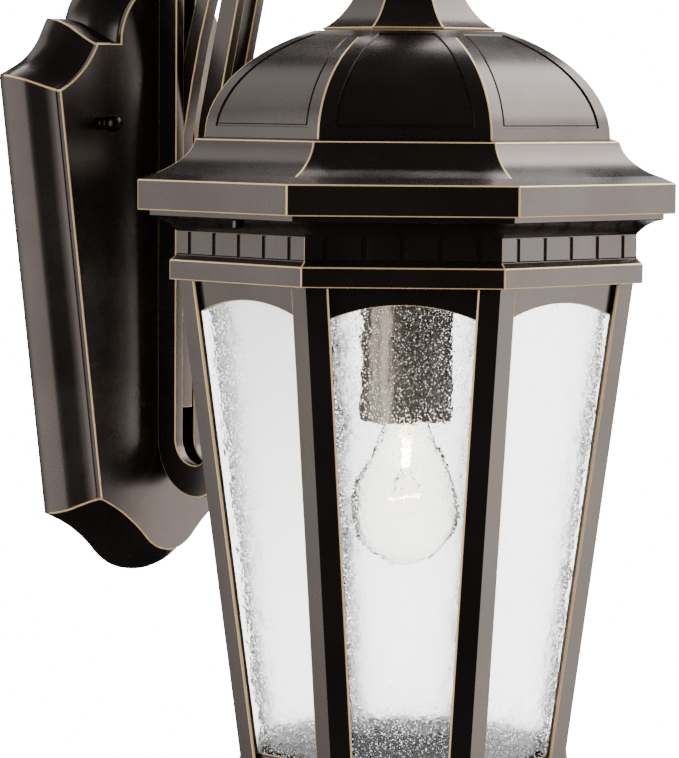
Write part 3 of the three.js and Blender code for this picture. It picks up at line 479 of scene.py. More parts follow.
class NodeBench:
    """Places and joins shader nodes in a tree."""

    def __init__(self, tree: bpy.types.NodeTree) -> None:
        """Keeps the tree that nodes go into."""
        self.tree = tree

    def add(self, kind: str, **settings: object) -> Node:
        """Adds a node.

        Args:
            kind: the node's type, without the ShaderNode prefix.
            settings: its properties.

        Returns:
            The node.
        """
        node = self.tree.nodes.new("ShaderNode" + kind)
        for name, value in settings.items():
            setattr(node, name, value)
        return node

    def join(self, source: Socket, node: Node, socket: str | int) -> None:
        """Links an output to a node's input."""
        self.tree.links.new(source, node.inputs[socket])

    def feed(self, value: object, node: Node, socket: str | int) -> None:
        """Gives a node's input a number, a colour or another node's output.

        Args:
            value: the number, colour or output.
            node: the node that takes it.
            socket: the input's name or index.
        """
        if isinstance(value, Socket):
            self.join(value, node, socket)
        elif isinstance(value, (int, float)):
            node.inputs[socket].default_value = value
        else:
            node.inputs[socket].default_value = (*value, 1.0)

    def math(self, operation: str, first: object, second: object = 0.0) -> Socket:
        """Adds a Math node.

        Args:
            operation: what it does.
            first: a socket or a number.
            second: a socket or a number.

        Returns:
            Its output.
        """
        node = self.add("Math", operation=operation)
        self.feed(first, node, 0)
        self.feed(second, node, 1)
        return node.outputs[0]

    def span(self, value: Socket, low: float, high: float, start: float = 0.0, end: float = 1.0) -> Socket:
        """Adds a smooth Map Range.

        Args:
            value: the output to map.
            low: the value that gives start.
            high: the value that gives end.
            start: the result at low.
            end: the result at high.

        Returns:
            Its output.
        """
        node = self.add("MapRange", interpolation_type="SMOOTHSTEP")
        self.join(value, node, "Value")
        for name, number in (("From Min", low), ("From Max", high), ("To Min", start), ("To Max", end)):
            node.inputs[name].default_value = number
        return node.outputs[0]

    def noise(self, place: Socket, scale: object, detail: float = 2.0, rough: float = 0.5) -> Socket:
        """Adds a Noise Texture.

        Args:
            place: the place that it varies over.
            scale: a socket or a number.
            detail: how many finer layers it has.
            rough: how strong the finer layers are.

        Returns:
            Its factor.
        """
        node = self.add("TexNoise")
        dial(node, Detail=detail, Roughness=rough)
        self.feed(scale, node, "Scale")
        self.join(place, node, "Vector")
        return node.outputs[0]

    def mixture(self, first: tuple[Socket, float], second: tuple[Socket, float]) -> Socket:
        """Adds two outputs, each times its share."""
        return self.math("ADD", self.math("MULTIPLY", *first), self.math("MULTIPLY", *second))

    def blend(self, factor: Socket, first: object, second: object) -> Socket:
        """Adds a colour Mix node.

        Args:
            factor: how much of the second colour shows.
            first: a colour or a socket.
            second: a colour or a socket.

        Returns:
            Its output.
        """
        node = self.add("Mix", data_type="RGBA", blend_type="MIX")
        for i, value in ((0, factor), (6, first), (7, second)):
            self.feed(value, node, i)
        return node.outputs[2]


def shader_group(
    name: str, inputs: dict[str, float], outputs: Sequence[str]
) -> tuple[Tree, NodeBench, Node, Node]:
    """Starts a shader node group with a Place vector and number inputs.

    Args:
        name: the group's name.
        inputs: each number input with its default.
        outputs: the names of the number outputs.

    Returns:
        The tree, a bench in it, and its input and output nodes.
    """
    tree = bpy.data.node_groups.new(name, "ShaderNodeTree")
    tree.interface.new_socket("Place", in_out="INPUT", socket_type="NodeSocketVector")
    for key, value in inputs.items():
        tree.interface.new_socket(key, in_out="INPUT", socket_type="NodeSocketFloat").default_value = value
    for key in outputs:
        tree.interface.new_socket(key, in_out="OUTPUT", socket_type="NodeSocketFloat")
    return tree, NodeBench(tree), tree.nodes.new("NodeGroupInput"), tree.nodes.new("NodeGroupOutput")


def make_cast_surface() -> Tree:
    """The skin of a sprayed casting: cloudy tone, fine orange peel and a little uneven gloss.

    Returns:
        The group.
    """
    tree, bench, given, shown = shader_group(
        "cast_surface", {"Cloud Scale": 14.0, "Peel Scale": 900.0}, ("Tone", "Gloss", "Height")
    )
    place, fine = given.outputs["Place"], given.outputs["Peel Scale"]
    cloud = bench.noise(place, given.outputs["Cloud Scale"], 4.0, 0.6)
    peel = bench.noise(place, fine, 2.0, 0.5)
    speck = bench.noise(place, bench.math("MULTIPLY", fine, 2.6), 1.0)
    bench.join(bench.span(cloud, 0.3, 0.7), shown, "Tone")
    bench.join(bench.mixture((cloud, 0.6), (speck, 0.4)), shown, "Gloss")
    bench.join(bench.mixture((peel, 0.7), (speck, 0.3)), shown, "Height")
    return tree


def make_edge_wear() -> Tree:
    """Where the coating is rubbed through: full on the ridges, broken up by noise along them.

    Returns:
        The group.
    """
    tree, bench, given, shown = shader_group(
        "edge_wear", {"Rub": 0.0, "Patch Scale": 60.0, "Grit Scale": 700.0, "Amount": 0.5}, ("Mask", "Fringe")
    )
    patch = bench.noise(given.outputs["Place"], given.outputs["Patch Scale"], 3.0, 0.6)
    grit = bench.noise(given.outputs["Place"], given.outputs["Grit Scale"], 2.0, 0.6)
    broken = bench.mixture((patch, 0.65), (grit, 0.35))
    reach = bench.math("ADD", broken, given.outputs["Amount"])
    level = bench.math("MULTIPLY", given.outputs["Rub"], reach)
    bench.join(bench.span(level, 0.38, 0.8), shown, "Mask")
    bench.join(bench.span(level, 0.1, 0.5), shown, "Fringe")
    return tree


def make_seeds() -> Tree:
    """Seeded glass: small round bubbles of two sizes in a slightly wavy sheet.

    Returns:
        The group.
    """
    tree, bench, given, shown = shader_group(
        "seeds", {"Seed Scale": 420.0, "Wave Scale": 55.0}, ("Bubbles", "Height")
    )
    heights = []
    masks = []
    kinds = ((1.0, 0.32, 0.30), (1.9, 0.36, 0.22), (0.45, 0.17, 0.66))
    for ratio, reach, crowd in kinds:
        cells = bench.add("TexVoronoi", feature="F1")
        bench.join(given.outputs["Place"], cells, "Vector")
        bench.join(bench.math("MULTIPLY", given.outputs["Seed Scale"], ratio), cells, "Scale")
        bump = bench.span(cells.outputs["Distance"], 0.02, reach, 1.0, 0.0)
        chosen = bench.add("SeparateColor")
        bench.join(cells.outputs["Color"], chosen, 0)
        keep = bench.math("GREATER_THAN", chosen.outputs[0], crowd)
        bubble = bench.math("MULTIPLY", bump, keep)
        masks.append(bench.span(bubble, 0.25, 0.85))
        heights.append(bench.math("DIVIDE", bubble, ratio))
    mask = bench.math("MAXIMUM", bench.math("MAXIMUM", masks[0], masks[1]), masks[2])
    bench.join(mask, shown, "Bubbles")
    wave = bench.noise(given.outputs["Place"], given.outputs["Wave Scale"], 3.0, 0.55)
    lumps = bench.math("ADD", bench.math("ADD", heights[0], heights[1]), heights[2])
    bench.join(bench.mixture((wave, 2.6), (lumps, 0.6)), shown, "Height")
    return tree


def make_drawn_lines() -> Tree:
    """Fine lines and spots of drawn or turned metal, along the piece's own stretched place.

    Returns:
        The group.
    """
    tree, bench, given, shown = shader_group("drawn_lines", {"Line Scale": 900.0}, ("Lines", "Spots"))
    place, scale = given.outputs["Place"], given.outputs["Line Scale"]
    lines = bench.noise(place, scale, 3.0, 0.65)
    spots = bench.noise(place, bench.math("MULTIPLY", scale, 0.08), 3.0, 0.6)
    bench.join(lines, shown, "Lines")
    bench.join(bench.span(spots, 0.35, 0.7), shown, "Spots")
    return tree


class Effects:
    """The shared shader groups, each built once."""

    def __init__(self) -> None:
        """Builds the groups."""
        self.cast_surface = make_cast_surface()
        self.edge_wear = make_edge_wear()
        self.seeds = make_seeds()
        self.drawn_lines = make_drawn_lines()


# ---------------------------------------------------------------- finishes


def start_material(name: str) -> tuple[Material, NodeBench, Node, Socket]:
    """Starts a material.

    Args:
        name: the material's name.

    Returns:
        The material, a bench in its tree, its Principled shader and the Object coordinate.
    """
    material = bpy.data.materials.new(name)
    material.use_nodes = True
    bench = NodeBench(material.node_tree)
    shader = material.node_tree.nodes["Principled BSDF"]
    place = bench.add("TexCoord").outputs["Object"]
    return material, bench, shader, place


def use_group(
    bench: NodeBench, tree: Tree, place: Socket, **values: float
) -> Node:
    """Places a shader group in a material.

    Args:
        bench: the bench in the material's tree.
        tree: the group.
        place: the place that it varies over.
        values: its inputs, with _ for a space.

    Returns:
        The group's node.
    """
    node = bench.add("Group", node_tree=tree)
    bench.join(place, node, "Place")
    dial(node, **values)
    return node


def bump(
    bench: NodeBench, height: Socket, distance: float, strength: float, shader: Node
) -> None:
    """Feeds a height into a shader's Normal.

    Args:
        bench: the bench in the material's tree.
        height: the height from 0 to 1.
        distance: what 1 stands for, in metres.
        strength: how much of it shows.
        shader: the shader that it bends.
    """
    node = bench.add("Bump")
    dial(node, Distance=distance, Strength=strength)
    bench.join(height, node, "Height")
    bench.join(node.outputs[0], shader, "Normal")


@dataclass(frozen=True)
class RubbedBronze:
    """Dark sprayed bronze, with pale gold where it is rubbed along the ridges."""

    name: str = "rubbed_bronze"
    dark: Colour = (0.070, 0.056, 0.049)
    light: Colour = (0.095, 0.078, 0.069)
    fringe: Colour = (0.16, 0.105, 0.055)
    gold: Colour = (0.84, 0.57, 0.26)
    gloss: tuple[float, float] = (0.22, 0.31)
    wear: float = 0.6

    def build(self, effects: Effects) -> Material:
        """Makes the material.

        Args:
            effects: the shared shader groups.

        Returns:
            The material.
        """
        material, bench, shader, place = start_material(self.name)
        skin = use_group(bench, effects.cast_surface, place, Cloud_Scale=16.0, Peel_Scale=850.0)
        worn = use_group(
            bench, effects.edge_wear, place, Patch_Scale=55.0, Grit_Scale=900.0, Amount=self.wear
        )
        rub = bench.add("Attribute", attribute_name="rub")
        bench.join(rub.outputs["Fac"], worn, "Rub")
        coat = bench.blend(skin.outputs["Tone"], self.dark, self.light)
        fringed = bench.blend(worn.outputs["Fringe"], coat, self.fringe)
        colour = bench.blend(worn.outputs["Mask"], fringed, self.gold)
        bench.join(colour, shader, "Base Color")
        gloss = bench.span(skin.outputs["Gloss"], 0.3, 0.7, *self.gloss)
        rough = bench.math("ADD", gloss, bench.math("MULTIPLY", worn.outputs["Mask"], 0.1))
        bench.join(rough, shader, "Roughness")
        bench.join(bench.span(worn.outputs["Mask"], 0.0, 1.0, 0.92, 0.35), shader, "Metallic")
        dial(shader, Coat_Weight=0.25, Coat_Roughness=0.22)
        bump(bench, skin.outputs["Height"], 0.00006, 0.35, shader)
        return material


@dataclass(frozen=True)
class PlainMetal:
    """A drawn, turned or plated metal."""

    name: str
    colour: Colour
    stain: Colour
    gloss: tuple[float, float]
    stretch: tuple[float, float, float] = (1.0, 1.0, 0.06)
    metallic: float = 1.0

    def build(self, effects: Effects) -> Material:
        """Makes the material.

        Args:
            effects: the shared shader groups.

        Returns:
            The material.
        """
        material, bench, shader, place = start_material(self.name)
        stretched = bench.add("Mapping")
        dial(stretched, Scale=self.stretch)
        bench.join(place, stretched, "Vector")
        marks = use_group(bench, effects.drawn_lines, stretched.outputs[0], Line_Scale=1400.0)
        bench.join(bench.blend(marks.outputs["Spots"], self.colour, self.stain), shader, "Base Color")
        bench.join(bench.span(marks.outputs["Lines"], 0.3, 0.7, *self.gloss), shader, "Roughness")
        dial(shader, Metallic=self.metallic)
        bump(bench, marks.outputs["Lines"], 0.00004, 0.3, shader)
        return material


@dataclass(frozen=True)
class SeededGlass:
    """Clear seeded glass, with painted glints: its bubbles glow faintly with emission."""

    name: str = "seeded_glass"
    tint: Colour = (0.965, 0.975, 0.965)

    def build(self, effects: Effects) -> Material:
        """Makes the material.

        Args:
            effects: the shared shader groups.

        Returns:
            The material.
        """
        material, bench, shader, place = start_material(self.name)
        seeds = use_group(bench, effects.seeds, place, Seed_Scale=560.0, Wave_Scale=70.0)
        dial(shader, Base_Color=(*self.tint, 1.0), Roughness=0.015, IOR=1.46, Transmission_Weight=1.0)
        bump(bench, seeds.outputs["Height"], 0.0005, 0.4, shader)
        # Painted glints: the bubble mask feeds a faint white emission, standing in for light caught in the
        # bubbles.
        painted_glint = bench.blend(seeds.outputs["Bubbles"], (0.0, 0.0, 0.0), (1.0, 1.0, 1.0))
        bench.join(painted_glint, shader, "Emission Color")
        dial(shader, Emission_Strength=2.2)
        return material


@dataclass(frozen=True)
class MilkyFace(SeededGlass):
    """The inner face of a pane: clear from outside, and softly white from within the cage."""

    name: str = "seeded_glass_inner"
    milk: Colour = (0.93, 0.94, 0.925)

    def build(self, effects: Effects) -> Material:
        """Makes the material.

        Args:
            effects: the shared shader groups; not used.

        Returns:
            The material.
        """
        material, bench, shader, place = start_material(self.name)
        dial(shader, Base_Color=(*self.tint, 1.0), Roughness=0.01, IOR=1.46, Transmission_Weight=1.0)
        haze = bench.add("BsdfTranslucent")
        cloud = bench.noise(place, 35.0, 3.0, 0.6)
        tone = bench.blend(bench.span(cloud, 0.3, 0.7), self.milk, tuple(0.97 * c for c in self.milk))
        bench.join(tone, haze, "Color")
        mixed = bench.add("MixShader")
        mirrored = bench.math("GREATER_THAN", bench.add("LightPath").outputs["Glossy Depth"], 0.5)
        bench.join(bench.math("MAXIMUM", bench.add("NewGeometry").outputs["Backfacing"], mirrored), mixed, 0)
        bench.join(haze.outputs[0], mixed, 1)
        bench.join(shader.outputs[0], mixed, 2)
        bench.join(mixed.outputs[0], material.node_tree.nodes["Material Output"], "Surface")
        return material


@dataclass(frozen=True)
class BulbGlass:
    """Thin clear blown glass."""

    name: str = "blown_glass"

    def build(self, effects: Effects) -> Material:
        """Makes the material.

        Args:
            effects: the shared shader groups.

        Returns:
            The material.
        """
        material, bench, shader, place = start_material(self.name)
        skin = use_group(bench, effects.cast_surface, place, Cloud_Scale=30.0, Peel_Scale=120.0)
        dial(shader, Base_Color=(1.0, 0.985, 0.955, 1.0), IOR=1.22, Transmission_Weight=1.0)
        bench.join(bench.span(skin.outputs["Gloss"], 0.3, 0.7, 0.0, 0.02), shader, "Roughness")
        return material


@dataclass(frozen=True)
class Glow:
    """A hot filament, its warm colour varied along fine lines."""

    name: str = "hot_tungsten"
    strength: float = 260.0

    def build(self, effects: Effects) -> Material:
        """Makes the material.

        Args:
            effects: the shared shader groups.

        Returns:
            The material.
        """
        material, bench, shader, place = start_material(self.name)
        marks = use_group(bench, effects.drawn_lines, place, Line_Scale=500.0)
        heat = bench.blend(marks.outputs["Lines"], (1.0, 0.60, 0.24), (1.0, 0.78, 0.45))
        bench.join(heat, shader, "Emission Color")
        dial(shader, Emission_Strength=self.strength, Base_Color=(0.3, 0.26, 0.22, 1.0), Metallic=1.0)
        return material


@dataclass(frozen=True)
class Glaze:
    """Glazed white ceramic with a faint cloud in the glaze."""

    name: str = "glazed_ceramic"
    white: Colour = (0.86, 0.84, 0.78)
    cream: Colour = (0.80, 0.78, 0.71)

    def build(self, effects: Effects) -> Material:
        """Makes the material.

        Args:
            effects: the shared shader groups.

        Returns:
            The material.
        """
        material, bench, shader, place = start_material(self.name)
        skin = use_group(bench, effects.cast_surface, place, Cloud_Scale=45.0, Peel_Scale=500.0)
        bench.join(bench.blend(skin.outputs["Tone"], self.white, self.cream), shader, "Base Color")
        bench.join(bench.span(skin.outputs["Gloss"], 0.3, 0.7, 0.12, 0.22), shader, "Roughness")
        dial(shader, Coat_Weight=0.5)
        bump(bench, skin.outputs["Height"], 0.00005, 0.25, shader)
        return material


@dataclass(frozen=True)
class PaintedGlowGlass:
    """Clear pressed glass with a painted glow for the filament's light: it emits, more of it lower down."""

    name: str = "painted_glow_glass"
    top: float = -0.166
    low: float = -0.200

    def build(self, effects: Effects) -> Material:
        """Makes the material.

        Args:
            effects: the shared shader groups.

        Returns:
            The material.
        """
        material, bench, shader, place = start_material(self.name)
        skin = use_group(bench, effects.cast_surface, place, Cloud_Scale=300.0, Peel_Scale=900.0)
        dial(shader, Base_Color=(1.0, 0.97, 0.92, 1.0), IOR=1.5, Transmission_Weight=1.0)
        bench.join(bench.span(skin.outputs["Gloss"], 0.3, 0.7, 0.05, 0.25), shader, "Roughness")
        # Painted glow: a warm emission, strongest low on the pillar near the filament, stands in for the
        # filament's light on the glass.
        split = bench.add("SeparateXYZ")
        bench.join(place, split, 0)
        near = bench.span(split.outputs[2], self.low, self.top, 1.0, 0.08)
        painted_glow_amount = bench.math("MULTIPLY", near, skin.outputs["Tone"])
        bench.join(bench.blend(painted_glow_amount, (0.0, 0.0, 0.0), (1.0, 0.86, 0.64)), shader, "Emission Color")
        dial(shader, Emission_Strength=40.0)
        return material


@dataclass(frozen=True)
class Look:
    """A finish, and the record's slot that it stands for."""

    slot: Slot
    material: Material


class Finishes:
    """All the finishes of the lantern."""

    def __init__(self) -> None:
        """Builds every material."""
        effects = Effects()
        self.bronze = Look(Slot.CASTING, RubbedBronze().build(effects))
        self.seeded = Look(Slot.SEEDED, SeededGlass().build(effects))
        self.milky = Look(Slot.SEEDED, MilkyFace().build(effects))
        self.bulb = Look(Slot.BULB_GLASS, BulbGlass().build(effects))
        self.glow = Look(Slot.FILAMENT, Glow().build(effects))
        self.ceramic = Look(Slot.PORCELAIN, Glaze().build(effects))
        metals = (
            (Slot.HARDWARE, "blackened_steel", (0.05, 0.042, 0.038), (0.08, 0.066, 0.058), (0.22, 0.36)),
            (Slot.ZINC, "zinc_plate", (0.62, 0.62, 0.60), (0.50, 0.50, 0.50), (0.2, 0.34)),
            (Slot.ZINC, "aged_zinc", (0.16, 0.15, 0.145), (0.09, 0.08, 0.075), (0.25, 0.4)),
            (Slot.BRASS, "plain_brass", (0.72, 0.52, 0.22), (0.58, 0.40, 0.17), (0.18, 0.3)),
            (Slot.CUP, "bronzed_cup", (0.52, 0.43, 0.36), (0.42, 0.35, 0.29), (0.26, 0.38)),
        )
        self.black, self.zinc, self.aged_zinc, self.brass, self.cup = (
            Look(slot, PlainMetal(name, colour, stain, gloss).build(effects))
            for slot, name, colour, stain, gloss in metals
        )
        self.wire = Look(Slot.FILAMENT, self.zinc.material)
        # The glass pillar's finish carries a painted glow in place of the filament's light.
        self.pillar = Look(Slot.FILAMENT, PaintedGlowGlass().build(effects))


def fit(piece: Piece, body: Body, look: Look, *nodes: str) -> Piece:
    """Dresses a piece, hangs it on its body, and hides the CAD nodes that it stands for.

    Args:
        piece: the finished object.
        body: the body that it rides on.
        look: its finish and slot.
        nodes: the CAD nodes that it stands for.

    Returns:
        The piece.
    """
    if not piece.data.materials:
        piece.data.materials.append(look.material)
    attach(piece, body.value)
    if nodes:
        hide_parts(*nodes)
    LOG.info("%s: %d faces on %s", piece.name, len(piece.data.polygons), body.value)
    return piece


# ---------------------------------------------------------------- wall plate


@dataclass
class WallPlate:
    """The cast wall plate: a flat field with an ogee edge, shoulders, an arched head and a lobe below."""

    finishes: Finishes
    depth: float = PLATE_DEPTH
    wall: float = 3.0
    shoulder: Point = (84.8, 19.2)
    step: Point = (56.7, 46.7)
    neck: float = 39.0
    foot: Point = (53.3, -223.4)
    lobe: Point = (20.5, -246.5)
    tip: float = -257.5
    curve_steps: int = 20
    edge_marks: tuple[Point, ...] = (
        (37.5, 14.8), (28.4, 14.0), (19.2, 10.2), (11.6, 4.8), (8.4, 2.7), (4.2, 0.6)
    )
    hollow_marks: tuple[Point, ...] = (
        (37.5, 0.0), (29.3, 2.8), (26.1, 4.8), (18.0, 10.2), (9.0, 14.0), (0.05, 14.8)
    )

    def outline(self) -> list[Point]:
        """The outline of the front face, anticlockwise in X and Z.

        Returns:
            Its places.
        """
        half = [(0.0, self.tip)]
        half += bezier([half[-1], (self.lobe[0] - 9, self.tip), self.lobe], self.curve_steps)
        half += bezier([self.lobe, (self.foot[0] - 17.7, self.foot[1] - 7.7), self.foot], self.curve_steps)
        half.append(self.shoulder)
        bend = (self.step[0] + 9.3, self.shoulder[1] + 8.8)
        half += bezier([self.shoulder, bend, self.step], self.curve_steps)
        half += arc((0, self.step[1]), self.neck, 0, 90, self.curve_steps)
        left = [(-x, z) for x, z in reversed(half[1:-1])]
        return half + left

    def edge_profile(self) -> list[Point]:
        """The ogee edge from the wall to the front.

        Returns:
            The height off the wall and the flare beyond the front outline, point by point.
        """
        marks = self.edge_marks
        curve = [marks[0]]
        for i, (deep, flare) in enumerate(marks[1:-1], 1):
            before, after = Vector(marks[i - 1]), Vector(marks[i + 1])
            here = Vector((deep, flare))
            slope = (after - before).normalized()
            start = Vector(curve[-1])
            control = here - slope * (here - start).length * 0.45
            curve += bezier([tuple(start), tuple(control), (deep, flare)], 4)
        curve += bezier([curve[-1], (6.0, 1.2), marks[-1]], 3)
        curve += [(3.9, 0.0), (0.0, 0.0)]
        return [(self.depth - deep, flare) for deep, flare in curve]

    def inner_profile(self) -> list[Point]:
        """The hollow behind, from its flat bottom to the rim."""
        deepest = self.depth - self.wall
        return [(min(height, deepest), flare - self.wall) for height, flare in self.hollow_marks]

    def worn_edge(self, edge: Edge) -> bool:
        """True for the front's outline and for the ridges that run down the flare.

        Args:
            edge: the edge to judge.

        Returns:
            Whether its coating is rubbed.
        """
        deep = middle(edge).y
        along_rim = abs(edge.verts[0].co.y - edge.verts[1].co.y) < TINY
        return outward(edge) and (abs(deep + self.depth) < 0.01 if along_rim else deep < -4)

    def build(self) -> None:
        """Models the plate from its rim forwards, one loop for each step of the ogee."""
        outline = self.outline()
        shell = self.inner_profile() + self.edge_profile()
        bench = Bench("wall_plate")
        bench.loft([[(x, -height, z) for x, z in offset(outline, flare)] for height, flare in shell])
        for height in (shell[0][0], shell[-1][0]):
            plane = -height * MM
            bench.pick(lambda edge, plane=plane: all(abs(v.co.y - plane) < TINY for v in edge.verts), "EDGE")
            bpy.ops.mesh.edge_face_add()
        bench.tidy()
        bench.bevel(0.95, convex(24, self.worn_edge))
        piece = bench.finish(32)
        fit(piece, Body.BRACKET, self.finishes.bronze, "backplate")


def outward(edge: Edge) -> bool:
    """True if an edge belongs to the plate's outer skin and not to its hollow."""
    return all(face.normal.y < 0.35 for face in edge.link_faces)


# ---------------------------------------------------------------- hook arm


@dataclass
class HookArm:
    """Two flat loops with the hook strap between them, held together by three screws."""

    finishes: Finishes
    plate_front: float = -PLATE_DEPTH
    seat: float = SEAT
    half_width: float = 10.5
    strap_half: float = 4.0
    leg: float = 16.5
    front_leg: float = 15.5
    base: float = -187.0
    tip: float = -222.0
    reach: float = 61.0
    waist: float = 35.0
    slot_tip: float = -203.0
    crook: float = 224.0
    lantern: float = 204.5
    eye: tuple[float, float, float] = (12.0, 114.0, 136.0)
    steps: int = 18

    def loop_outline(self) -> list[Point]:
        """The outer outline of a loop, as distance from the plate and height.

        Returns:
            Its places.
        """
        back, n = self.seat, self.steps
        front = self.waist + self.front_leg
        made: list[Point] = [(back, self.base)]
        made += bezier([made[-1], (back, self.base - 21), (15, self.tip), (35, self.tip)], n)
        made += bezier([made[-1], (50, self.tip), (self.reach, self.base - 21), (self.reach, self.base)], n)
        made.append((front + 1, -24))
        made += bezier([made[-1], (front, -6), (front + 4, 9)], n // 2)
        made.append((71.5, 72))
        made += bezier([made[-1], (84, 122), (112, 180), (146, 186)], n)
        made += bezier([made[-1], (158, 188), (170, 182), (178, 168)], n // 2)
        made.append((192, 176))
        made += bezier([made[-1], (180, 206), (152, self.crook), (112, self.crook)], n)
        made += bezier([made[-1], (48, self.crook), (back, 182), (back, 118)], n)
        return made

    def slot_outline(self) -> list[Point]:
        """The slot inside a loop.

        Returns:
            Its places.
        """
        front, n = self.reach - self.front_leg, self.steps
        made: list[Point] = [(self.leg, self.base), (self.leg, 116)]
        made += bezier([made[-1], (self.leg, 170), (52, 206), (108, 207)], n)
        made += bezier([made[-1], (92, 184), (70, 130), (56, 72)], n)
        made.append((self.waist + 4, 9))
        made += bezier([made[-1], (self.waist - 0.5, -6), (self.waist + 1, -24)], n // 2)
        made.append((front, self.base))
        made += bezier([made[-1], (front, -197), (41, self.slot_tip), (34, self.slot_tip)], n)
        last = bezier([made[-1], (24, self.slot_tip), (self.leg, -197), (self.leg, self.base)], n)
        return made + last[:-1]

    def strap_outline(self) -> list[Point]:
        """The hook strap, up the back leg and over to the lantern.

        Returns:
            Its places.
        """
        top = self.eye[2] - 2
        n = self.steps
        made: list[Point] = [(self.seat, -170), (self.leg - 1, -170), (self.leg - 1, -8)]
        made += [(23.8, 26), (30.4, 50), (38.8, 74)]
        made += bezier([made[-1], (53, 114), (78, 176), (122, 202)], n)
        made += bezier([made[-1], (150, 216), (190, 190), (self.lantern - 7.5, top)], n)
        made.append((self.lantern + 7.5, top))
        made += bezier([made[-1], (208, 196), (168, 228), (118, 219)], n)
        made += bezier([made[-1], (62, 205), (42, 124), (27.5, 76)], n)
        return made + [(19, 50), (12.5, 26), (self.seat, -8)]

    def flat_bar(self, name: str, faces: Sequence[Sequence[Point]], start: float, end: float) -> Bench:
        """Cuts a flat bar to its outlines and rounds its edges.

        Args:
            name: the piece's name.
            faces: outlines that share edges where they meet.
            start: the bar's lower X.
            end: the bar's upper X.

        Returns:
            The bench, still in edit mode.
        """
        bench = Bench(name)
        for outline in faces:
            bench.face([(start, self.plate_front - w, z) for w, z in outline])
        bench.everything()
        bpy.ops.mesh.remove_doubles(threshold=TINY)
        bench.everything()
        bench.extrude((end - start, 0, 0))
        bench.tidy()
        bench.bevel(0.8, convex(50), segments=4)
        return bench

    def loop_halves(self) -> list[list[Point]]:
        """The loop's shape as a front half and a back half, round its slot.

        Returns:
            The two outlines.
        """
        outer, slot = self.loop_outline(), self.slot_outline()
        foot = min(range(len(outer)), key=lambda i: math.dist(outer[i], (35, self.tip)))
        head = min(range(len(outer)), key=lambda i: math.dist(outer[i], (112, self.crook)))
        top = min(range(len(slot)), key=lambda i: math.dist(slot[i], (108, 207)))
        low = min(range(len(slot)), key=lambda i: math.dist(slot[i], (34, self.slot_tip)))
        front = outer[foot : head + 1] + slot[top : low + 1]
        back = outer[head:] + outer[: foot + 1] + slot[low:] + slot[: top + 1]
        return [front, back]

    def build(self) -> None:
        """Models the loops, the strap and its eye."""
        halves = self.loop_halves()
        inner = self.strap_half + self.seat
        for side, start, end in (("left", -self.half_width, -inner), ("right", inner, self.half_width)):
            piece = self.flat_bar("arm_loop_casting_" + side, halves, start, end).finish(35)
            fit(piece, Body.BRACKET, self.finishes.bronze, "arm_loop_" + side)
        strap = self.flat_bar("hook_strap", [self.strap_outline()], -self.strap_half, self.strap_half)
        fit(strap.finish(35), Body.BRACKET, self.finishes.bronze, "hook_arm")
        radius, bottom, top = self.eye
        bore, roof = STEM_HOLE, 5.7
        turned_piece(
            "hook_eye",
            [
                (bore, bottom), (radius - 1, bottom), (radius, bottom + 1), (radius, top - 3),
                (radius - 3, top), (0, top), (0, top - roof), (bore, top - roof),
            ],
            Direction.UP, (0, self.plate_front - self.lantern, 0), ROUND_STEPS,
            Body.BRACKET, self.finishes.bronze, "hook_arm",
        )


def turned_piece(
    name: str,
    profile: Sequence[Point],
    direction: Direction,
    place: Place,
    steps: int,
    body: Body,
    look: Look,
    *nodes: str,
    closed: bool = True,
    work: Callable[[Bench], None] | None = None,
) -> Piece:
    """Turns a round piece, points it and puts it in its place.

    Args:
        name: the piece's name.
        profile: radius and distance along the piece.
        direction: where it points.
        place: the place of its foot in millimetres.
        steps: facets round it.
        body: the body it rides on.
        look: its finish and slot.
        nodes: the CAD nodes it stands for.
        closed: whether the profile joins its end to its start.
        work: further work on the turned mesh.

    Returns:
        The piece.
    """
    bench = Bench(name)
    bench.wire([(r, 0, z) for r, z in profile], closed)
    bench.turn(steps)
    if work is not None:
        work(bench)
    aim = Vector((0, 0, 1)).rotation_difference(Vector(direction.value))
    bench.place(place, aim)
    return fit(bench.finish(35), body, look, *nodes)


# ---------------------------------------------------------------- hood


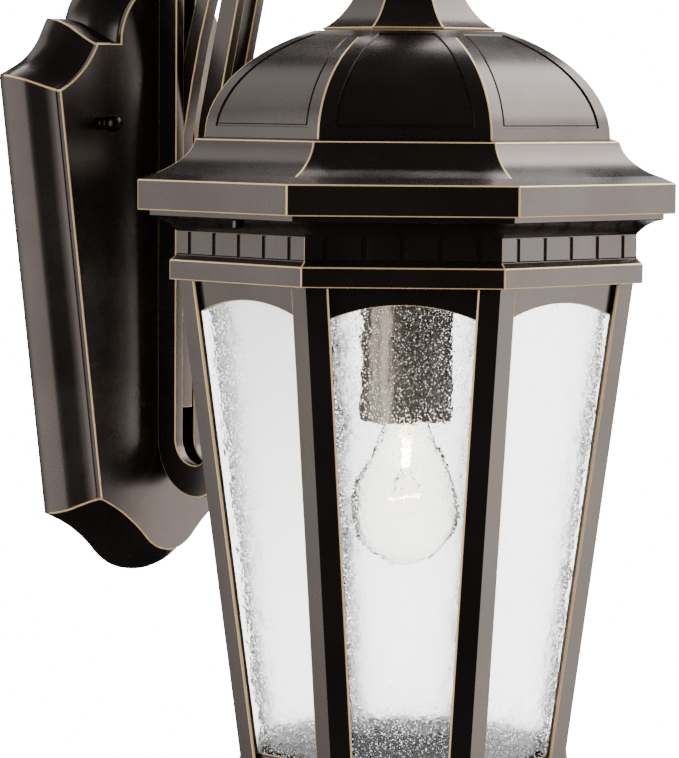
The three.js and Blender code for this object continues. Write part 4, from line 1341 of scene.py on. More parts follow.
@dataclass
class Hood:
    """The octagonal dome on its coved skirt and eave, with the bell above it."""

    finishes: Finishes
    axis: Vector
    wall: float = 2.6
    crown: float = 53.0
    dome: tuple[float, float, float] = (110.8, -5.6, 66.5)
    ledge: Point = (115.7, -6.7)
    cove_end: Point = (139.0, -26.4)
    cove_bend: Point = (118.0, -18.3)
    eave: tuple[float, float, float] = (146.0, -28.8, -45.3)
    stem_hole: float = STEM_HOLE
    border: float = 8.5
    foot_border: float = 6.0
    top_border: float = 3.2
    boss: tuple[float, float, float] = (2.2, 5.0, 16.0)

    def outline(self) -> list[Point]:
        """The outer profile from the eave's foot to the stem hole.

        Returns:
            Its places.
        """
        apothem, base, rise = self.dome
        last = math.degrees(math.asin((self.crown - base) / rise))
        first = math.degrees(math.asin(self.foot_border / rise))
        steps = 14
        reach = last - self.top_border - first
        angles = [0, first] + [first + reach * i / steps for i in range(1, steps + 1)] + [last]
        curve = [
            (apothem * math.cos(math.radians(a)), base + rise * math.sin(math.radians(a))) for a in angles
        ]
        cove = [self.cove_end] + bezier([self.cove_end, self.cove_bend, self.ledge], 12)
        lip = (self.eave[0], self.eave[1])
        return [(self.eave[0], self.eave[2]), lip, *cove, *curve, (self.stem_hole, self.crown)]

    def panel(self, bench: Bench) -> None:
        """Sinks the panel of one side of the dome inside its raised border.

        Args:
            bench: the bench that holds the side.
        """
        apothem, base, rise = self.dome
        low = base + self.foot_border
        high = base + rise * math.sin(math.asin((self.crown - base) / rise) - math.radians(self.top_border))

        def on_dome(face: Face) -> bool:
            """True for the outer skin of the dome.

            Args:
                face: the face to judge.

            Returns:
                Whether it belongs.
            """
            middle_of = face.calc_center_median() / MM
            shell = ((middle_of.x / apothem) ** 2 + ((middle_of.z - base) / rise) ** 2) ** 0.5
            return middle_of.z > base and shell > 0.987 and face.normal.x > 0.05

        lean = math.tan(CORNER)
        for side in (-1, 1):
            bench.pick(on_dome)
            bench.cut_plane((0, -side * self.border, 0), (-side * lean, 1, 0))

        def on_panel(face: Face) -> bool:
            """True for the dome's skin inside the border."""
            spot = face.calc_center_median() / MM
            return on_dome(face) and low < spot.z < high and abs(spot.y) < spot.x * lean - self.border

        bench.pick(on_panel)
        bench.inset(0.5, -0.9)
        bench.inset(0.9, 0.0)
        bench.inset(0.5, 0.55)

    def build_dome(self) -> None:
        """Models the hood."""
        outline = self.outline()
        inside = list(reversed(offset(outline, -self.wall, closed=False)))
        bench = Bench("hood_casting")
        bench.sector([*outline, *inside])
        self.panel(bench)
        bench.ring()

        def outer_skin(edge: Edge) -> bool:
            """True for a ridge on the weather side."""
            flat = Vector((1, 1, 0.3))
            return all(face.normal.dot(face.calc_center_median() * flat) > 0 for face in edge.link_faces)

        def ridge(edge: Edge) -> bool:
            """True for the long ridges and rims, and not the edges of the sunk panels.

            Args:
                edge: the edge to judge.

            Returns:
                Whether it belongs.
            """
            place = middle(edge)
            angle = math.atan2(place.y, place.x) % SECTOR
            on_corner = abs(angle - CORNER) < 0.01
            at_rim = place.z < self.dome[1] + 1 or place.z > self.crown - 0.5
            return outer_skin(edge) and (on_corner or at_rim)

        bench.bevel(0.75, convex(17, ridge), segments=4)
        bench.place(self.axis)
        piece = bench.finish(30)
        fit(piece, Body.BRACKET, self.finishes.bronze, "hood")
        bore, radius, height = self.boss
        depth = height - 6
        for side, x in (("left", -THUMB_SIDE), ("right", THUMB_SIDE)):
            turned_piece(
                "hood_boss_" + side,
                [
                    (bore, 0), (radius - 0.6, 0), (radius, 0.6), (radius, height), (0, height), (0, depth),
                    (bore, depth),
                ],
                Direction.UP, self.axis + Vector((x, -10, -44.0)), SMALL_STEPS,
                Body.BRACKET, self.finishes.bronze,
            )

    def build_bell(self) -> None:
        """Models the flared bell above the crown."""
        foot = self.crown + SEAT
        start = (46.5, foot + 1.6)
        flare = [start] + bezier([start, (34, foot + 8), (26, foot + 24), (21, 98.6)], 24)
        outer = [(47.5, foot), (47.5, foot + 1.6), *flare, (24, 100.6), (24, 104.6), (17, 107.6)]
        inner = [(self.stem_hole, 107.6), (self.stem_hole, 101.6), (18.6, 99.6)]
        inner += [(a - 2.4, z) for a, z in reversed(flare)] + [(45.1, foot)]
        bench = Bench("bell_casting")
        bench.sector([*outer, *inner])
        bench.ring()
        bench.bevel(0.7, convex(20, lambda edge: outside(edge, 17.5) and weather_side(edge)))
        bench.place(self.axis)
        fit(bench.finish(30), Body.BRACKET, self.finishes.bronze, "bell_cap")

    def build(self) -> None:
        """Models the hood and its bell."""
        self.build_dome()
        self.build_bell()


def weather_side(edge: Edge) -> bool:
    """True if both faces of an edge look away from the Z axis or along it."""
    flat = Vector((1, 1, 0))
    return all(face.normal.dot(face.calc_center_median() * flat) > -TINY for face in edge.link_faces)


# ---------------------------------------------------------------- cage


@dataclass
class Cage:
    """The glazed cage: crown with its dentils, arched heads, posts, rail, pan and finial."""

    finishes: Finishes
    axis: Vector
    flange: tuple[float, float, float] = (139.8, -44.5, -48.5)
    frieze: tuple[float, float, float] = (125.5, -56.8, -70.0)
    frieze_wall: float = 4.0
    band: tuple[float, float, float] = (129.0, -72.7, -83.4)
    top_apothem: float = 123.9
    taper: float = TAPER
    bottom: float = -356.3
    seat: float = SEAT
    post: tuple[float, float] = (12.0, 3.2)
    header: float = 2.0
    pane: float = 3.0
    header_drop: float = 17.0
    arch_drop: float = 9.5
    arch_half: float = 38.4
    rail_top: float = -346.0
    dentil: tuple[float, float, float] = (20.2, 4.2, 2.4)
    gaps: int = 5

    def apothem(self, z: float, recess: float = 0.0) -> float:
        """The apothem of the cage's faces at a height, or of a layer behind them."""
        return self.top_apothem - (self.band[2] - z) * self.taper - recess / math.cos(TILT)

    def build_crown(self) -> None:
        """Models the flange, cove, dentil frieze and band in one casting."""
        face, top, foot = self.frieze
        cove_start = (self.flange[0], self.flange[2])
        cove = [cove_start] + bezier([cove_start, (130.6, -50.3), (face, top)], 10)
        inner = face - self.frieze_wall
        band_inner = self.apothem(self.band[2] - self.seat, 11.1)
        bench = Bench("cage_crown_casting")
        bench.sector([
            (self.flange[0], self.flange[1]), *cove, (face, foot), (self.band[0], self.band[1]),
            (self.band[0], self.band[2]), (band_inner, self.band[2]), (band_inner, self.band[2] + 3),
            (inner, self.band[1]), (inner, top), (inner + 6, self.flange[1]),
        ])

        def on_frieze(piece: Face) -> bool:
            """True for the frieze's front."""
            centre = piece.calc_center_median() / MM
            return foot < centre.z < top and centre.x > face - 0.5

        ledge = 1.3
        pitch, gap, depth = self.dentil
        places = [(i - (self.gaps - 1) / 2) * pitch for i in range(self.gaps)]
        for place in places:
            for edge in (place - gap / 2, place + gap / 2):
                bench.pick(on_frieze)
                bench.cut_plane((0, edge, 0), (0, 1, 0))
        bench.pick(on_frieze)
        bench.cut_plane((0, 0, foot + ledge), (0, 0, 1))

        def ground(piece: Face) -> bool:
            """True for the sunk ground between and below the dentils.

            Args:
                piece: the face to judge.

            Returns:
                Whether it belongs.
            """
            centre = piece.calc_center_median() / MM
            between = any(abs(centre.y - place) < gap / 2 for place in places)
            return on_frieze(piece) and (centre.z < foot + ledge or between)

        bench.pick(ground)
        bench.inset(0.35, 0)
        bench.inset(0.4, -depth / 2)
        bench.ring()

        def on_corner(edge: Edge) -> bool:
            """True for an edge along one of the eight corners."""
            across = turned_back(middle(edge))
            return abs(abs(across.y) - across.x * math.tan(CORNER)) < 0.1

        def on_band(edge: Edge) -> bool:
            """True for the outer edges of the band."""
            return weather_side(edge) and middle(edge).z < foot - 0.5

        def on_flange(edge: Edge) -> bool:
            """True for the outer edges of the flange under the eave."""
            return weather_side(edge) and middle(edge).z > self.flange[2] - 0.5

        def on_frieze_corner(edge: Edge) -> bool:
            """True for a corner of the frieze."""
            return on_corner(edge) and foot < middle(edge).z < top

        bench.bevel(0.65, convex(17, on_band), segments=4)
        bench.bevel(0.25, convex(17, on_frieze_corner), segments=2)
        bench.bevel(0.5, convex(17, on_flange), segments=3, rubbed=False)
        bench.place(self.axis)
        fit(bench.finish(30), Body.CAGE, self.finishes.bronze, "cage_crown")

    def build_header(self) -> None:
        """Models the ring of arched heads behind the posts."""
        recess = self.post[1] + self.seat
        top = self.band[2] - self.seat
        foot = self.band[2] - self.header_drop
        rise = self.header_drop - self.arch_drop
        radius = (self.arch_half**2 + rise**2) / (2 * rise)
        centre = self.band[2] - self.arch_drop - radius
        half = math.degrees(math.asin(self.arch_half / radius))
        arch = arc((0, centre), radius, 90 + half, 90 - half, 40)
        lean = math.tan(CORNER)
        right = [(self.apothem(foot, recess) * lean, foot), (self.apothem(top, recess) * lean, top)]
        left = [(-y, z) for y, z in reversed(right)]
        bench = Bench("arched_heads")
        bench.wire([(self.apothem(z, recess), y, z) for y, z in [*arch, *right, *left]], closed=True)
        bench.everything()
        bpy.ops.mesh.edge_face_add()
        bench.everything()
        bench.extrude((-self.header, 0, 0))
        ratio = 1 - self.header / self.apothem((top + foot) / 2, recess)
        bpy.ops.transform.resize(value=(1, ratio, 1), center_override=(0, 0, 0))
        bench.tidy()

        def at_neighbour(face: Face) -> bool:
            """True for an end that meets the next side."""
            return abs(abs(face.normal.y) - math.cos(CORNER)) < 0.02 and abs(face.normal.z) < 0.2

        bench.pick(at_neighbour)
        bpy.ops.mesh.delete(type="ONLY_FACE")
        bench.ring()

        def arch_edge(edge: Edge) -> bool:
            """True for the front edge of an arch."""
            place = middle(edge)
            return foot - 0.5 < place.z < self.band[2] - self.arch_drop + 0.5

        bench.bevel(0.45, convex(50, arch_edge), segments=3)
        bench.place(self.axis)
        fit(bench.finish(30), Body.CAGE, self.finishes.bronze, "arched_header")

    def leaning(self, high: float, low: float, recess: float) -> list[Point]:
        """The profile of a flat ring that leans like the posts.

        Args:
            high: its top.
            low: its foot.
            recess: how far it lies behind the cage's faces.

        Returns:
            The profile.
        """
        behind = recess + self.header
        marks = ((high, recess), (low, recess), (low, behind), (high, behind))
        return [(self.apothem(z, deep), z) for z, deep in marks]

    def build_rail(self) -> None:
        """Models the rail at the foot of the panes."""
        recess = self.post[1] + self.seat
        high, low = self.rail_top, self.bottom
        bench = Bench("foot_rail")
        bench.sector(self.leaning(high, low, recess))
        bench.ring()
        bench.bevel(0.5, convex(50, lambda edge: middle(edge).z > high - 1), segments=3)
        bench.place(self.axis)
        fit(bench.finish(30), Body.CAGE, self.finishes.bronze, "bottom_rail")

    def build_clip_ring(self) -> None:
        """Models the ring that holds the panes against the arched heads."""
        high, low = self.band[2] - self.seat, self.band[2] - 8.8
        recess = self.post[1] + self.header + self.pane + 3 * self.seat
        bench = Bench("pane_clip_ring")
        bench.sector(self.leaning(high, low, recess))
        bench.ring()
        bench.bevel(0.4, convex(50, lambda edge: middle(edge).z < low + 1), segments=2, rubbed=False)
        bench.place(self.axis)
        fit(bench.finish(30), Body.CAGE, self.finishes.zinc, "pane_retainer")

    def build_posts(self) -> None:
        """Models one corner post, and copies it to the eight corners."""
        width, thick = self.post
        sin, cos = math.sin(CORNER), math.cos(CORNER)
        deep = thick / math.cos(TILT)
        outer = self.apothem(self.bottom) / cos
        section = [
            (outer, 0.0),
            (outer - width * sin, width * cos),
            (outer - width * sin - deep * cos, width * cos - deep * sin),
            (outer - deep / cos, 0.0),
            (outer - width * sin - deep * cos, -(width * cos - deep * sin)),
            (outer - width * sin, -width * cos),
        ]
        height = self.band[2] - self.seat - self.bottom
        master = Bench("corner_post_casting")
        master.wire([(x, y, self.bottom) for x, y in section], closed=True)
        master.everything()
        bpy.ops.mesh.edge_face_add()
        master.everything()
        master.extrude((height * self.taper / cos, 0, height))
        master.tidy()
        master.bevel(1.3, convex(20, lambda edge: on_flank(edge, width * cos)), segments=5)
        rows, end = 8, 0.8
        for i in range(rows):
            master.everything()
            cut = self.bottom + end + i * (height - 2 * end) / (rows - 1)
            master.cut_plane((0, 0, cut), (0, 0, 1))
        finished = master.finish(30)
        for i in range(SIDES):
            copy = finished if i == SIDES - 1 else duplicate(finished)
            copy.name = copy.data.name = f"corner_post_casting_{i + 1}"
            copy.rotation_euler.z = CORNER * (2 * i + 1)
            copy.location = self.axis * MM
            take(copy)
            bpy.ops.object.transform_apply(location=True, rotation=True, scale=True)
            fit(copy, Body.CAGE, self.finishes.bronze, f"corner_post_{i + 1}")

    def dress_panes(self) -> None:
        """Gives each pane its seeded glass, with a softly white inner face."""
        for i in range(SIDES):
            pane = frame["nodes"][f"glass_pane_{i + 1}"]
            pane.data.materials.clear()
            pane.data.materials.append(self.finishes.seeded.material)
            pane.data.materials.append(self.finishes.milky.material)
            inward = -Vector((math.cos(SECTOR * i), math.sin(SECTOR * i), 0))
            for face in pane.data.polygons:
                face.material_index = 1 if face.normal.dot(inward) > 0.9 else 0

    def build_pan(self) -> None:
        """Models the base pan and its finial."""
        top, band = self.bottom - self.seat, 11.0
        foot = top - band
        rim, low, bottom, wall, ledge = 93.0, 30.0, -414.0, 3.0, 15.0
        curve = [(rim - 5, foot - 2), (rim - 22, foot - 8), (low + 14, foot - 20), (low, bottom + 5)]
        sweep = [curve[0]] + bezier(curve, 24)
        hollow = [(a - wall, z + wall) for a, z in reversed(sweep[2:-2])]
        bench = Bench("base_pan_casting")
        bench.sector([
            (rim, top), (rim, foot), *sweep, (low, bottom), (3.3, bottom), (3.3, bottom + wall),
            (low - wall, bottom + wall), *hollow, (rim - ledge, foot + wall), (rim - ledge, top),
        ])
        bench.ring()
        bench.bevel(0.75, convex(17, lambda edge: outside(edge, 12) and pan_skin(edge)))
        bench.place(self.axis)
        fit(bench.finish(30), Body.CAGE, self.finishes.bronze, "base_pan")
        height = 36.0
        ball = arc((0, -height + 17), 13.0, 50, -72, 18)
        turned_piece(
            "finial_casting",
            [
                (0, 9.7), (2.6, 9.7), (3, 9.3), (3, 0), (14.4, 0), (15, -0.6), (15, -1.9), (14.4, -2.5),
                (11, -3.1), (8.2, -4.8), (6.4, -7), (6, -8.6), *ball, (2.4, 1.8 - height),
                (1.5, 0.6 - height), (0, -height),
            ],
            Direction.UP, self.axis + Vector((0, 0, bottom - self.seat)), ROUND_STEPS,
            Body.CAGE, self.finishes.bronze, "base_finial", closed=False,
        )

    def build(self) -> None:
        """Models the whole cage."""
        self.build_crown()
        self.build_header()
        self.build_rail()
        self.build_clip_ring()
        self.build_posts()
        self.build_pan()
        self.dress_panes()


def turned_back(place: Vector) -> Vector:
    """A place turned into the sector that faces +X."""
    side = round(math.atan2(place.y, place.x) / SECTOR)
    return Matrix.Rotation(-side * SECTOR, 3, "Z") @ place


def on_flank(edge: Edge, reach: float) -> bool:
    """True for the two long edges of a post that stand beside the glass."""
    long = abs(edge.verts[0].co.z - edge.verts[1].co.z) > 0.1
    return long and abs(abs(middle(edge).y) - reach) < 0.1


def pan_skin(edge: Edge) -> bool:
    """True for an edge on the pan's outer skin."""
    return weather_side(edge) and all(face.normal.z < 0.3 for face in edge.link_faces)


def duplicate(piece: Piece) -> Piece:
    """Copies a piece.

    Args:
        piece: the piece to copy.

    Returns:
        The copy, with its own mesh.
    """
    take(piece)
    bpy.ops.object.duplicate(linked=False)
    return bpy.context.active_object


# ---------------------------------------------------------------- fixings


@dataclass
class Fixings:
    """Cap nuts, thumb screws and the smaller screws and nuts."""

    finishes: Finishes
    axis: Vector
    plate_front: float = -PLATE_DEPTH

    def cap_nuts(self) -> None:
        """Turns the two cap nuts on the studs."""
        r = 4.7
        profile = [
            (0.8 * r, 0), (0.86 * r, 0.3), (0.86 * r, 3.6), (0.8 * r, 4.2), (0.72 * r, 4.6), (0.7 * r, 5.6),
            (0.72 * r, 6.6), (0.94 * r, 7.0), (r, 7.6), (r, 9.4), (0.95 * r, 9.8), (r, 10.2), (r, 13.2),
            (0.97 * r, 14.6), (0.87 * r, 16.0), (0.68 * r, 17.1), (0.4 * r, 17.8), (0, 18.0), (0, 14.5),
            (2.2, 14.5), (2.2, 0),
        ]
        for side, x, body in (("left", -STUD_SIDE, Body.CAP_LEFT), ("right", STUD_SIDE, Body.CAP_RIGHT)):
            turned_piece(
                "cap_nut_turned_" + side, profile, Direction.FORWARD,
                (x, self.plate_front - SEAT, 0), MIDDLE_STEPS,
                body, self.finishes.black, "cap_nut_" + side,
            )

    def thumb_screws(self) -> None:
        """Turns the thumb screws and cuts their knurls."""

        def knurl(bench: Bench) -> None:
            """Sinks every other facet of the head.

            Args:
                bench: the bench that holds the screw.
            """
            step = 2 * math.pi / SMALL_STEPS

            def alternate(face: Face) -> bool:
                """True for every other facet of the head's side.

                Args:
                    face: the face to judge.

                Returns:
                    Whether it belongs.
                """
                centre = face.calc_center_median() / MM
                turn = int((math.atan2(centre.y, centre.x) + 2 * math.pi) / step)
                return centre.xy.length > 2.9 and 1.0 < centre.z < 4.2 and turn % 2 == 0

            bench.pick(alternate)
            bench.inset(0.06, -0.16, individual=True)

        profile = [
            (0, 0), (1.5, 0), (1.9, 0.2), (2.7, 0.45), (3.1, 0.9), (3.1, 4.5), (2.7, 5), (1.9, 5),
            (1.9, 18.7), (1.5, 19), (0, 19),
        ]
        sides = (("left", -THUMB_SIDE, Body.THUMB_LEFT), ("right", THUMB_SIDE, Body.THUMB_RIGHT))
        for side, x, body in sides:
            turned_piece(
                "thumb_screw_turned_" + side, profile, Direction.UP,
                self.axis + Vector((x, -10, -53.8)), SMALL_STEPS,
                body, self.finishes.aged_zinc, "thumb_screw_" + side, closed=False, work=knurl,
            )

    def screw(
        self, name: str, node: str, head: Point, shank: Point, direction: Direction, place: Place, look: Look
    ) -> None:
        """Turns a round-headed screw with a round sunk socket, its head's crown at the far end.

        Args:
            name: the piece's name.
            node: the CAD node it stands for.
            head: the head's radius and height.
            shank: the shank's radius and length.
            direction: from the tip to the head.
            place: the place of the tip.
            look: its finish and slot.
        """
        radius, height = head
        thin, length = shank
        top = length + height
        profile = [
            (0, 0), (thin - 0.5, 0), (thin, 0.5), (thin, length), (radius - 0.2, length),
            (radius, length + 0.2), (radius, top - 0.7), (radius - 0.2, top - 0.2), (radius - 0.7, top),
            (0.48 * radius, top), (0.44 * radius, top - 0.15), (0.44 * radius, top - 0.55 * height),
            (0, top - 0.62 * height),
        ]
        turned_piece(name, profile, direction, place, SMALL_STEPS, Body.BRACKET, look, node, closed=False)

    def screws(self) -> None:
        """Turns the arm's screws and the plate's."""
        for place, w, z in (("lower", 8.25, -150), ("upper", 8.25, -28), ("crook", 118, 212)):
            self.screw(
                "arm_screw_turned_" + place, "arm_screw_" + place, (4.6, 2.4), (2.4, 15.9), Direction.RIGHT,
                (-8.1, self.plate_front - w, z), self.finishes.black,
            )
        for i, z in enumerate((-120, -60), 1):
            self.screw(
                f"plate_screw_turned_{i}", f"plate_screw_{i}", (4, 3), (2.2, 16.3), Direction.BACKWARD,
                (0, self.plate_front - 13, z), self.finishes.zinc,
            )

    def threaded_rod(
        self, name: str, node: str, size: Point, length: float, direction: Direction, place: Place
    ) -> None:
        """Turns a threaded rod or tube, its thread as fine ridges.

        Args:
            name: the piece's name.
            node: the CAD node it stands for.
            size: its outer radius, and its bore's radius or 0.
            length: its length.
            direction: where it points.
            place: the place of its foot.
        """
        radius, bore = size
        pitch, plain = 1.25, 0.8
        count = int((length - 2 * plain) / pitch)
        ridges = []
        for i in range(count):
            start = plain + i * pitch
            ridges += [(radius - 0.3, start), (radius, start + 0.45 * pitch), (radius, start + 0.6 * pitch)]
        end = [(radius - 0.3, length - 0.7), (radius - 0.6, length), (bore, length)]
        turned_piece(
            name, [(bore, 0), (radius - 0.6, 0), *ridges, *end], direction, place, THREAD_STEPS,
            Body.BRACKET, self.finishes.zinc, node, closed=bore > 0,
        )

    def hex_nut(
        self, name: str, node: str, size: Point, heights: Point, body: Body, look: Look
    ) -> None:
        """Cuts a hexagon nut with softened corners round the lantern's axis.

        Args:
            name: the piece's name.
            node: the CAD node it stands for.
            size: its radius across the corners and its bore's radius.
            heights: its foot and its top.
            body: the body it rides on.
            look: its finish and slot.
        """
        radius, bore = size
        bottom, top = heights
        bench = Bench(name)
        for reach, count in ((radius, 6), (bore, 30)):
            turns = [math.radians(360 // count * i) for i in range(count)]
            bench.wire([(reach * math.cos(a), reach * math.sin(a), bottom) for a in turns], closed=True)
        bench.fill()
        bench.everything()
        bench.extrude((0, 0, top - bottom))
        bench.tidy()
        bench.bevel(0.4, convex(40, lambda edge: outside(edge, bore + 0.5)), segments=3, rubbed=False)
        bench.place(self.axis)
        fit(bench.finish(30), body, look, node)

    def nuts(self) -> None:
        """Cuts the lock nuts and the finial's nut."""
        black, zinc = self.finishes.black, self.finishes.zinc
        stem, finial = (9.5, STEM_HOLE), (6.0, 3.3)
        self.hex_nut("eye_nut_cut", "eye_lock_nut", stem, (107.9, 113.7), Body.BRACKET, black)
        self.hex_nut("hood_nut_cut", "hood_lock_nut", stem, (44.7, 50.1), Body.BRACKET, zinc)
        self.hex_nut("cup_nut_cut", "cup_lock_nut", stem, (-76.9, -71.5), Body.BRACKET, zinc)
        self.hex_nut("finial_nut_cut", "finial_nut", finial, (-410.7, -405.3), Body.CAGE, zinc)

    def mounting_bar(self) -> None:
        """Stamps the bar across the outlet box, with its slots and holes."""
        ground, thick = 16, 2.5
        bench = Bench("mounting_bar_stamped")
        outlines = [[(-70, -12), (70, -12), (70, 12), (-70, 12)]]
        for x in (-38, 38):
            outlines.append(arc((x + 5.6, 0), 2.4, -90, 90, 10) + arc((x - 5.6, 0), 2.4, 90, 270, 10))
        for x in (-STUD_SIDE, STUD_SIDE, ground):
            outlines.append(arc((x, 0), 2.2, 0, 345, 23))
        for outline in outlines:
            bench.wire([(x, 0.0, z) for x, z in outline], closed=True)
        bench.fill()
        bench.everything()
        bench.extrude((0, -thick, 0))
        bench.tidy()
        bench.bevel(0.35, convex(50), segments=2, rubbed=False)
        fit(bench.finish(30), Body.BRACKET, self.finishes.zinc, "mounting_bar")
        self.screw(
            "ground_screw_turned", "ground_screw", (4, 2.1), (2, 2.5), Direction.FORWARD, (ground, -SEAT, 0),
            self.finishes.brass,
        )

    def build(self) -> None:
        """Makes all the fixings."""
        self.cap_nuts()
        self.thumb_screws()
        self.screws()
        self.nuts()
        self.mounting_bar()
        for side, x in (("left", -STUD_SIDE), ("right", STUD_SIDE)):
            self.threaded_rod(
                "stud_threaded_" + side, "mounting_stud_" + side, (2.0, 0.0), 51.7,
                Direction.FORWARD, (x, -SEAT, 0),
            )
        self.threaded_rod(
            "stem_threaded", "hanging_stem", (4.85, 3.2), 255.7,
            Direction.UP, self.axis + Vector((0, 0, -125.7)),
        )


# ---------------------------------------------------------------- lamp


@dataclass
class Lamp:
    """The lamp holder and the bulb in it."""

    finishes: Finishes
    axis: Vector
    cup: tuple[float, float, float, float] = (25.5, 1.2, -70.0, -164.0)
    bulb_radius: float = 30.0
    bulb_tip: float = -245.0
    base: tuple[float, float, float] = (12.8, -138.0, -162.0)
    glass: float = 0.8
    wire_radius: float = 0.24
    thread_pitch: float = 3.6
    thread_step: float = 0.6

    def thread(self, radius: float, depth: float, start: float, length: float) -> list[Point]:
        """The rolled thread of a lamp base, as a wave down its side.

        Args:
            radius: the middle radius of the wave.
            depth: how far the wave goes either way.
            start: the height where it starts.
            length: how far down it goes.

        Returns:
            Its radii and heights.
        """
        steps = [self.thread_step * i for i in range(int(length / self.thread_step) + 1)]
        turn = 2 * math.pi / self.thread_pitch
        return [(radius + depth * math.sin(turn * step), start - step) for step in steps]

    def build_holder(self) -> None:
        """Turns the cup, the ceramic body, its screw shell and contact."""
        radius, wall, top, foot = self.cup
        soft = 2
        turns = [math.radians(15 * i) for i in range(7)]
        shoulder = [(radius - soft + soft * math.sin(a), top - soft + soft * math.cos(a)) for a in turns]
        cup = [
            (STEM_HOLE, top), *shoulder, (radius, foot + 1.6), (radius, foot + 0.3), (radius - 0.3, foot),
            (radius - wall, foot), (radius - wall, top - wall), (STEM_HOLE, top - wall),
        ]
        ceramic = [
            (STEM_HOLE, -118), (15, -118), (17.2, -118.9), (18.5, -121), (18.5, -161.8), (17.6, -163),
            (14.8, -163), (14.2, -162.4), (14.2, -134), (0, -134), (0, -126), (STEM_HOLE, -126),
        ]
        ridges = self.thread(13.55, 0.3, -134.3, 25.0)
        shell = [*ridges, *[(r - 0.3, z) for r, z in reversed(ridges)]]
        contact = [(0, -137.7), (3.4, -137.7), (4, -137.1), (4, -134.8), (3.4, -134.3), (0, -134.3)]
        finishes = self.finishes
        for name, profile, steps, look, node in (
            ("lamp_cup", cup, ROUND_STEPS, finishes.cup, "socket_cup"),
            ("ceramic_body", ceramic, MIDDLE_STEPS, finishes.ceramic, "socket_porcelain"),
            ("screw_shell", shell, MIDDLE_STEPS, finishes.brass, "socket_screw_shell"),
            ("centre_contact", contact, SMALL_STEPS, finishes.brass, "socket_contact"),
        ):
            turned_piece(
                name, profile, Direction.UP, self.axis, steps, Body.BRACKET, look, node,
                closed=profile is not contact,
            )

    def build_bulb(self) -> None:
        """Turns the bulb's base and glass, and winds its filament."""
        radius, top, bottom = self.base
        skirt = radius - 0.9
        base = [
            (0, top), (3.6, top), (4.4, top - 0.6), (5, top - 1.6), (9.5, top - 3.4), (radius - 1, top - 4.4),
            *self.thread(radius - 0.35, 0.35, top - 6, 16.4), (radius, bottom + 0.4), (radius - 0.4, bottom),
            (skirt, bottom), (skirt, top - 7), (0, top - 7),
        ]
        turned_piece(
            "bulb_screw_base", base, Direction.UP, self.axis, MIDDLE_STEPS,
            Body.BULB, self.finishes.brass, "bulb_base", closed=False,
        )
        neck, centre = bottom - SEAT, self.bulb_tip + self.bulb_radius
        widest = (self.bulb_radius, centre)
        bend = [(radius + 0.5, neck - 18), (self.bulb_radius, centre + 24)]
        shoulder = [(radius, neck)] + bezier([(radius, neck), *bend, widest], 30)
        outer = shoulder + arc((0, centre), self.bulb_radius, 0, -90, 26)[1:-1] + [(0, self.bulb_tip)]
        bench = Bench("bulb_envelope")
        bench.wire([(r, 0, z) for r, z in outer])
        bench.turn(ROUND_STEPS)
        bpy.ops.object.mode_set(mode="OBJECT")
        bpy.ops.object.modifier_add(type="SOLIDIFY")
        wall = bench.piece.modifiers[-1]
        wall.thickness = self.glass * MM
        wall.offset = -1
        bpy.ops.object.modifier_apply(modifier=wall.name)
        bpy.ops.object.mode_set(mode="EDIT")
        bench.place(self.axis)
        fit(bench.finish(60, weighted=False), Body.BULB, self.finishes.bulb, "bulb_glass")
        self.build_filament(neck, centre)

    def build_filament(self, neck: float, centre: float) -> None:
        """Makes the glass pillar, the support wires and the coiled filament.

        Args:
            neck: the height of the glass's neck.
            centre: the height of its widest place.
        """
        lead = neck - 24
        pillar = [
            (0, neck), (10.8, neck), (9.4, neck - 2.6), (6.2, neck - 5.6), (4.2, neck - 9), (3.2, neck - 14),
            (2.5, lead - 1), (3.1, lead - 2.4), (2.4, lead - 4), (0, lead - 4.6),
        ]
        turned_piece(
            "glass_pillar", pillar, Direction.UP, self.axis, SMALL_STEPS,
            Body.BULB, self.finishes.pillar, closed=False,
        )
        low = centre + 8
        half = [(-11, 0, low), (-9.4, 3.6, low - 1.2), (-6.6, 6.2, low - 2), (-3.4, 7.7, low - 2.7)]
        other = [(-x, y, z) for x, y, z in reversed(half)]
        route = [Vector(place) for place in [*half, (0, 8.2, low - 3), *other]]
        coil = coiled(route, turns=34, radius=0.85, per_turn=7)
        self.wire_piece("filament_coil", [coil], self.finishes.glow)
        halfway = (lead + low) / 2
        post = [(1.2, 0, lead + 3), (2.6, 0, lead - 3), (6.4, 0, halfway), (9.6, 0, low + 3), (11, 0, low)]
        hook = [(0, 0.6, lead - 3.6), (1.6, 3.4, low + 8), (4.2, 6.6, low + 1), (5.0, 7.0, low - 2.3)]
        leads = [[(side * x, y, z) for x, y, z in wire] for wire in (post, hook) for side in (-1, 1)]
        self.wire_piece("support_wires", leads, self.finishes.wire)

    def wire_piece(self, name: str, routes: Sequence[Sequence[Place]], look: Look) -> None:
        """Draws wires along routes and gives them their thickness.

        Args:
            name: the piece's name.
            routes: the places along each wire.
            look: its finish and slot.
        """
        bench = Bench(name)
        for route in routes:
            bench.wire([tuple(p) for p in route])
        bpy.ops.object.mode_set(mode="OBJECT")
        bpy.ops.object.convert(target="CURVE")
        curve = bench.piece.data
        curve.bevel_depth = self.wire_radius * MM
        curve.bevel_resolution = 1
        curve.use_fill_caps = True
        bpy.ops.object.convert(target="MESH")
        bpy.ops.object.mode_set(mode="EDIT")
        bench.place(self.axis)
        fit(bench.finish(60, weighted=False), Body.BULB, look, "bulb_filament")

    def build(self) -> None:
        """Makes the holder and the bulb."""
        self.build_holder()
        self.build_bulb()


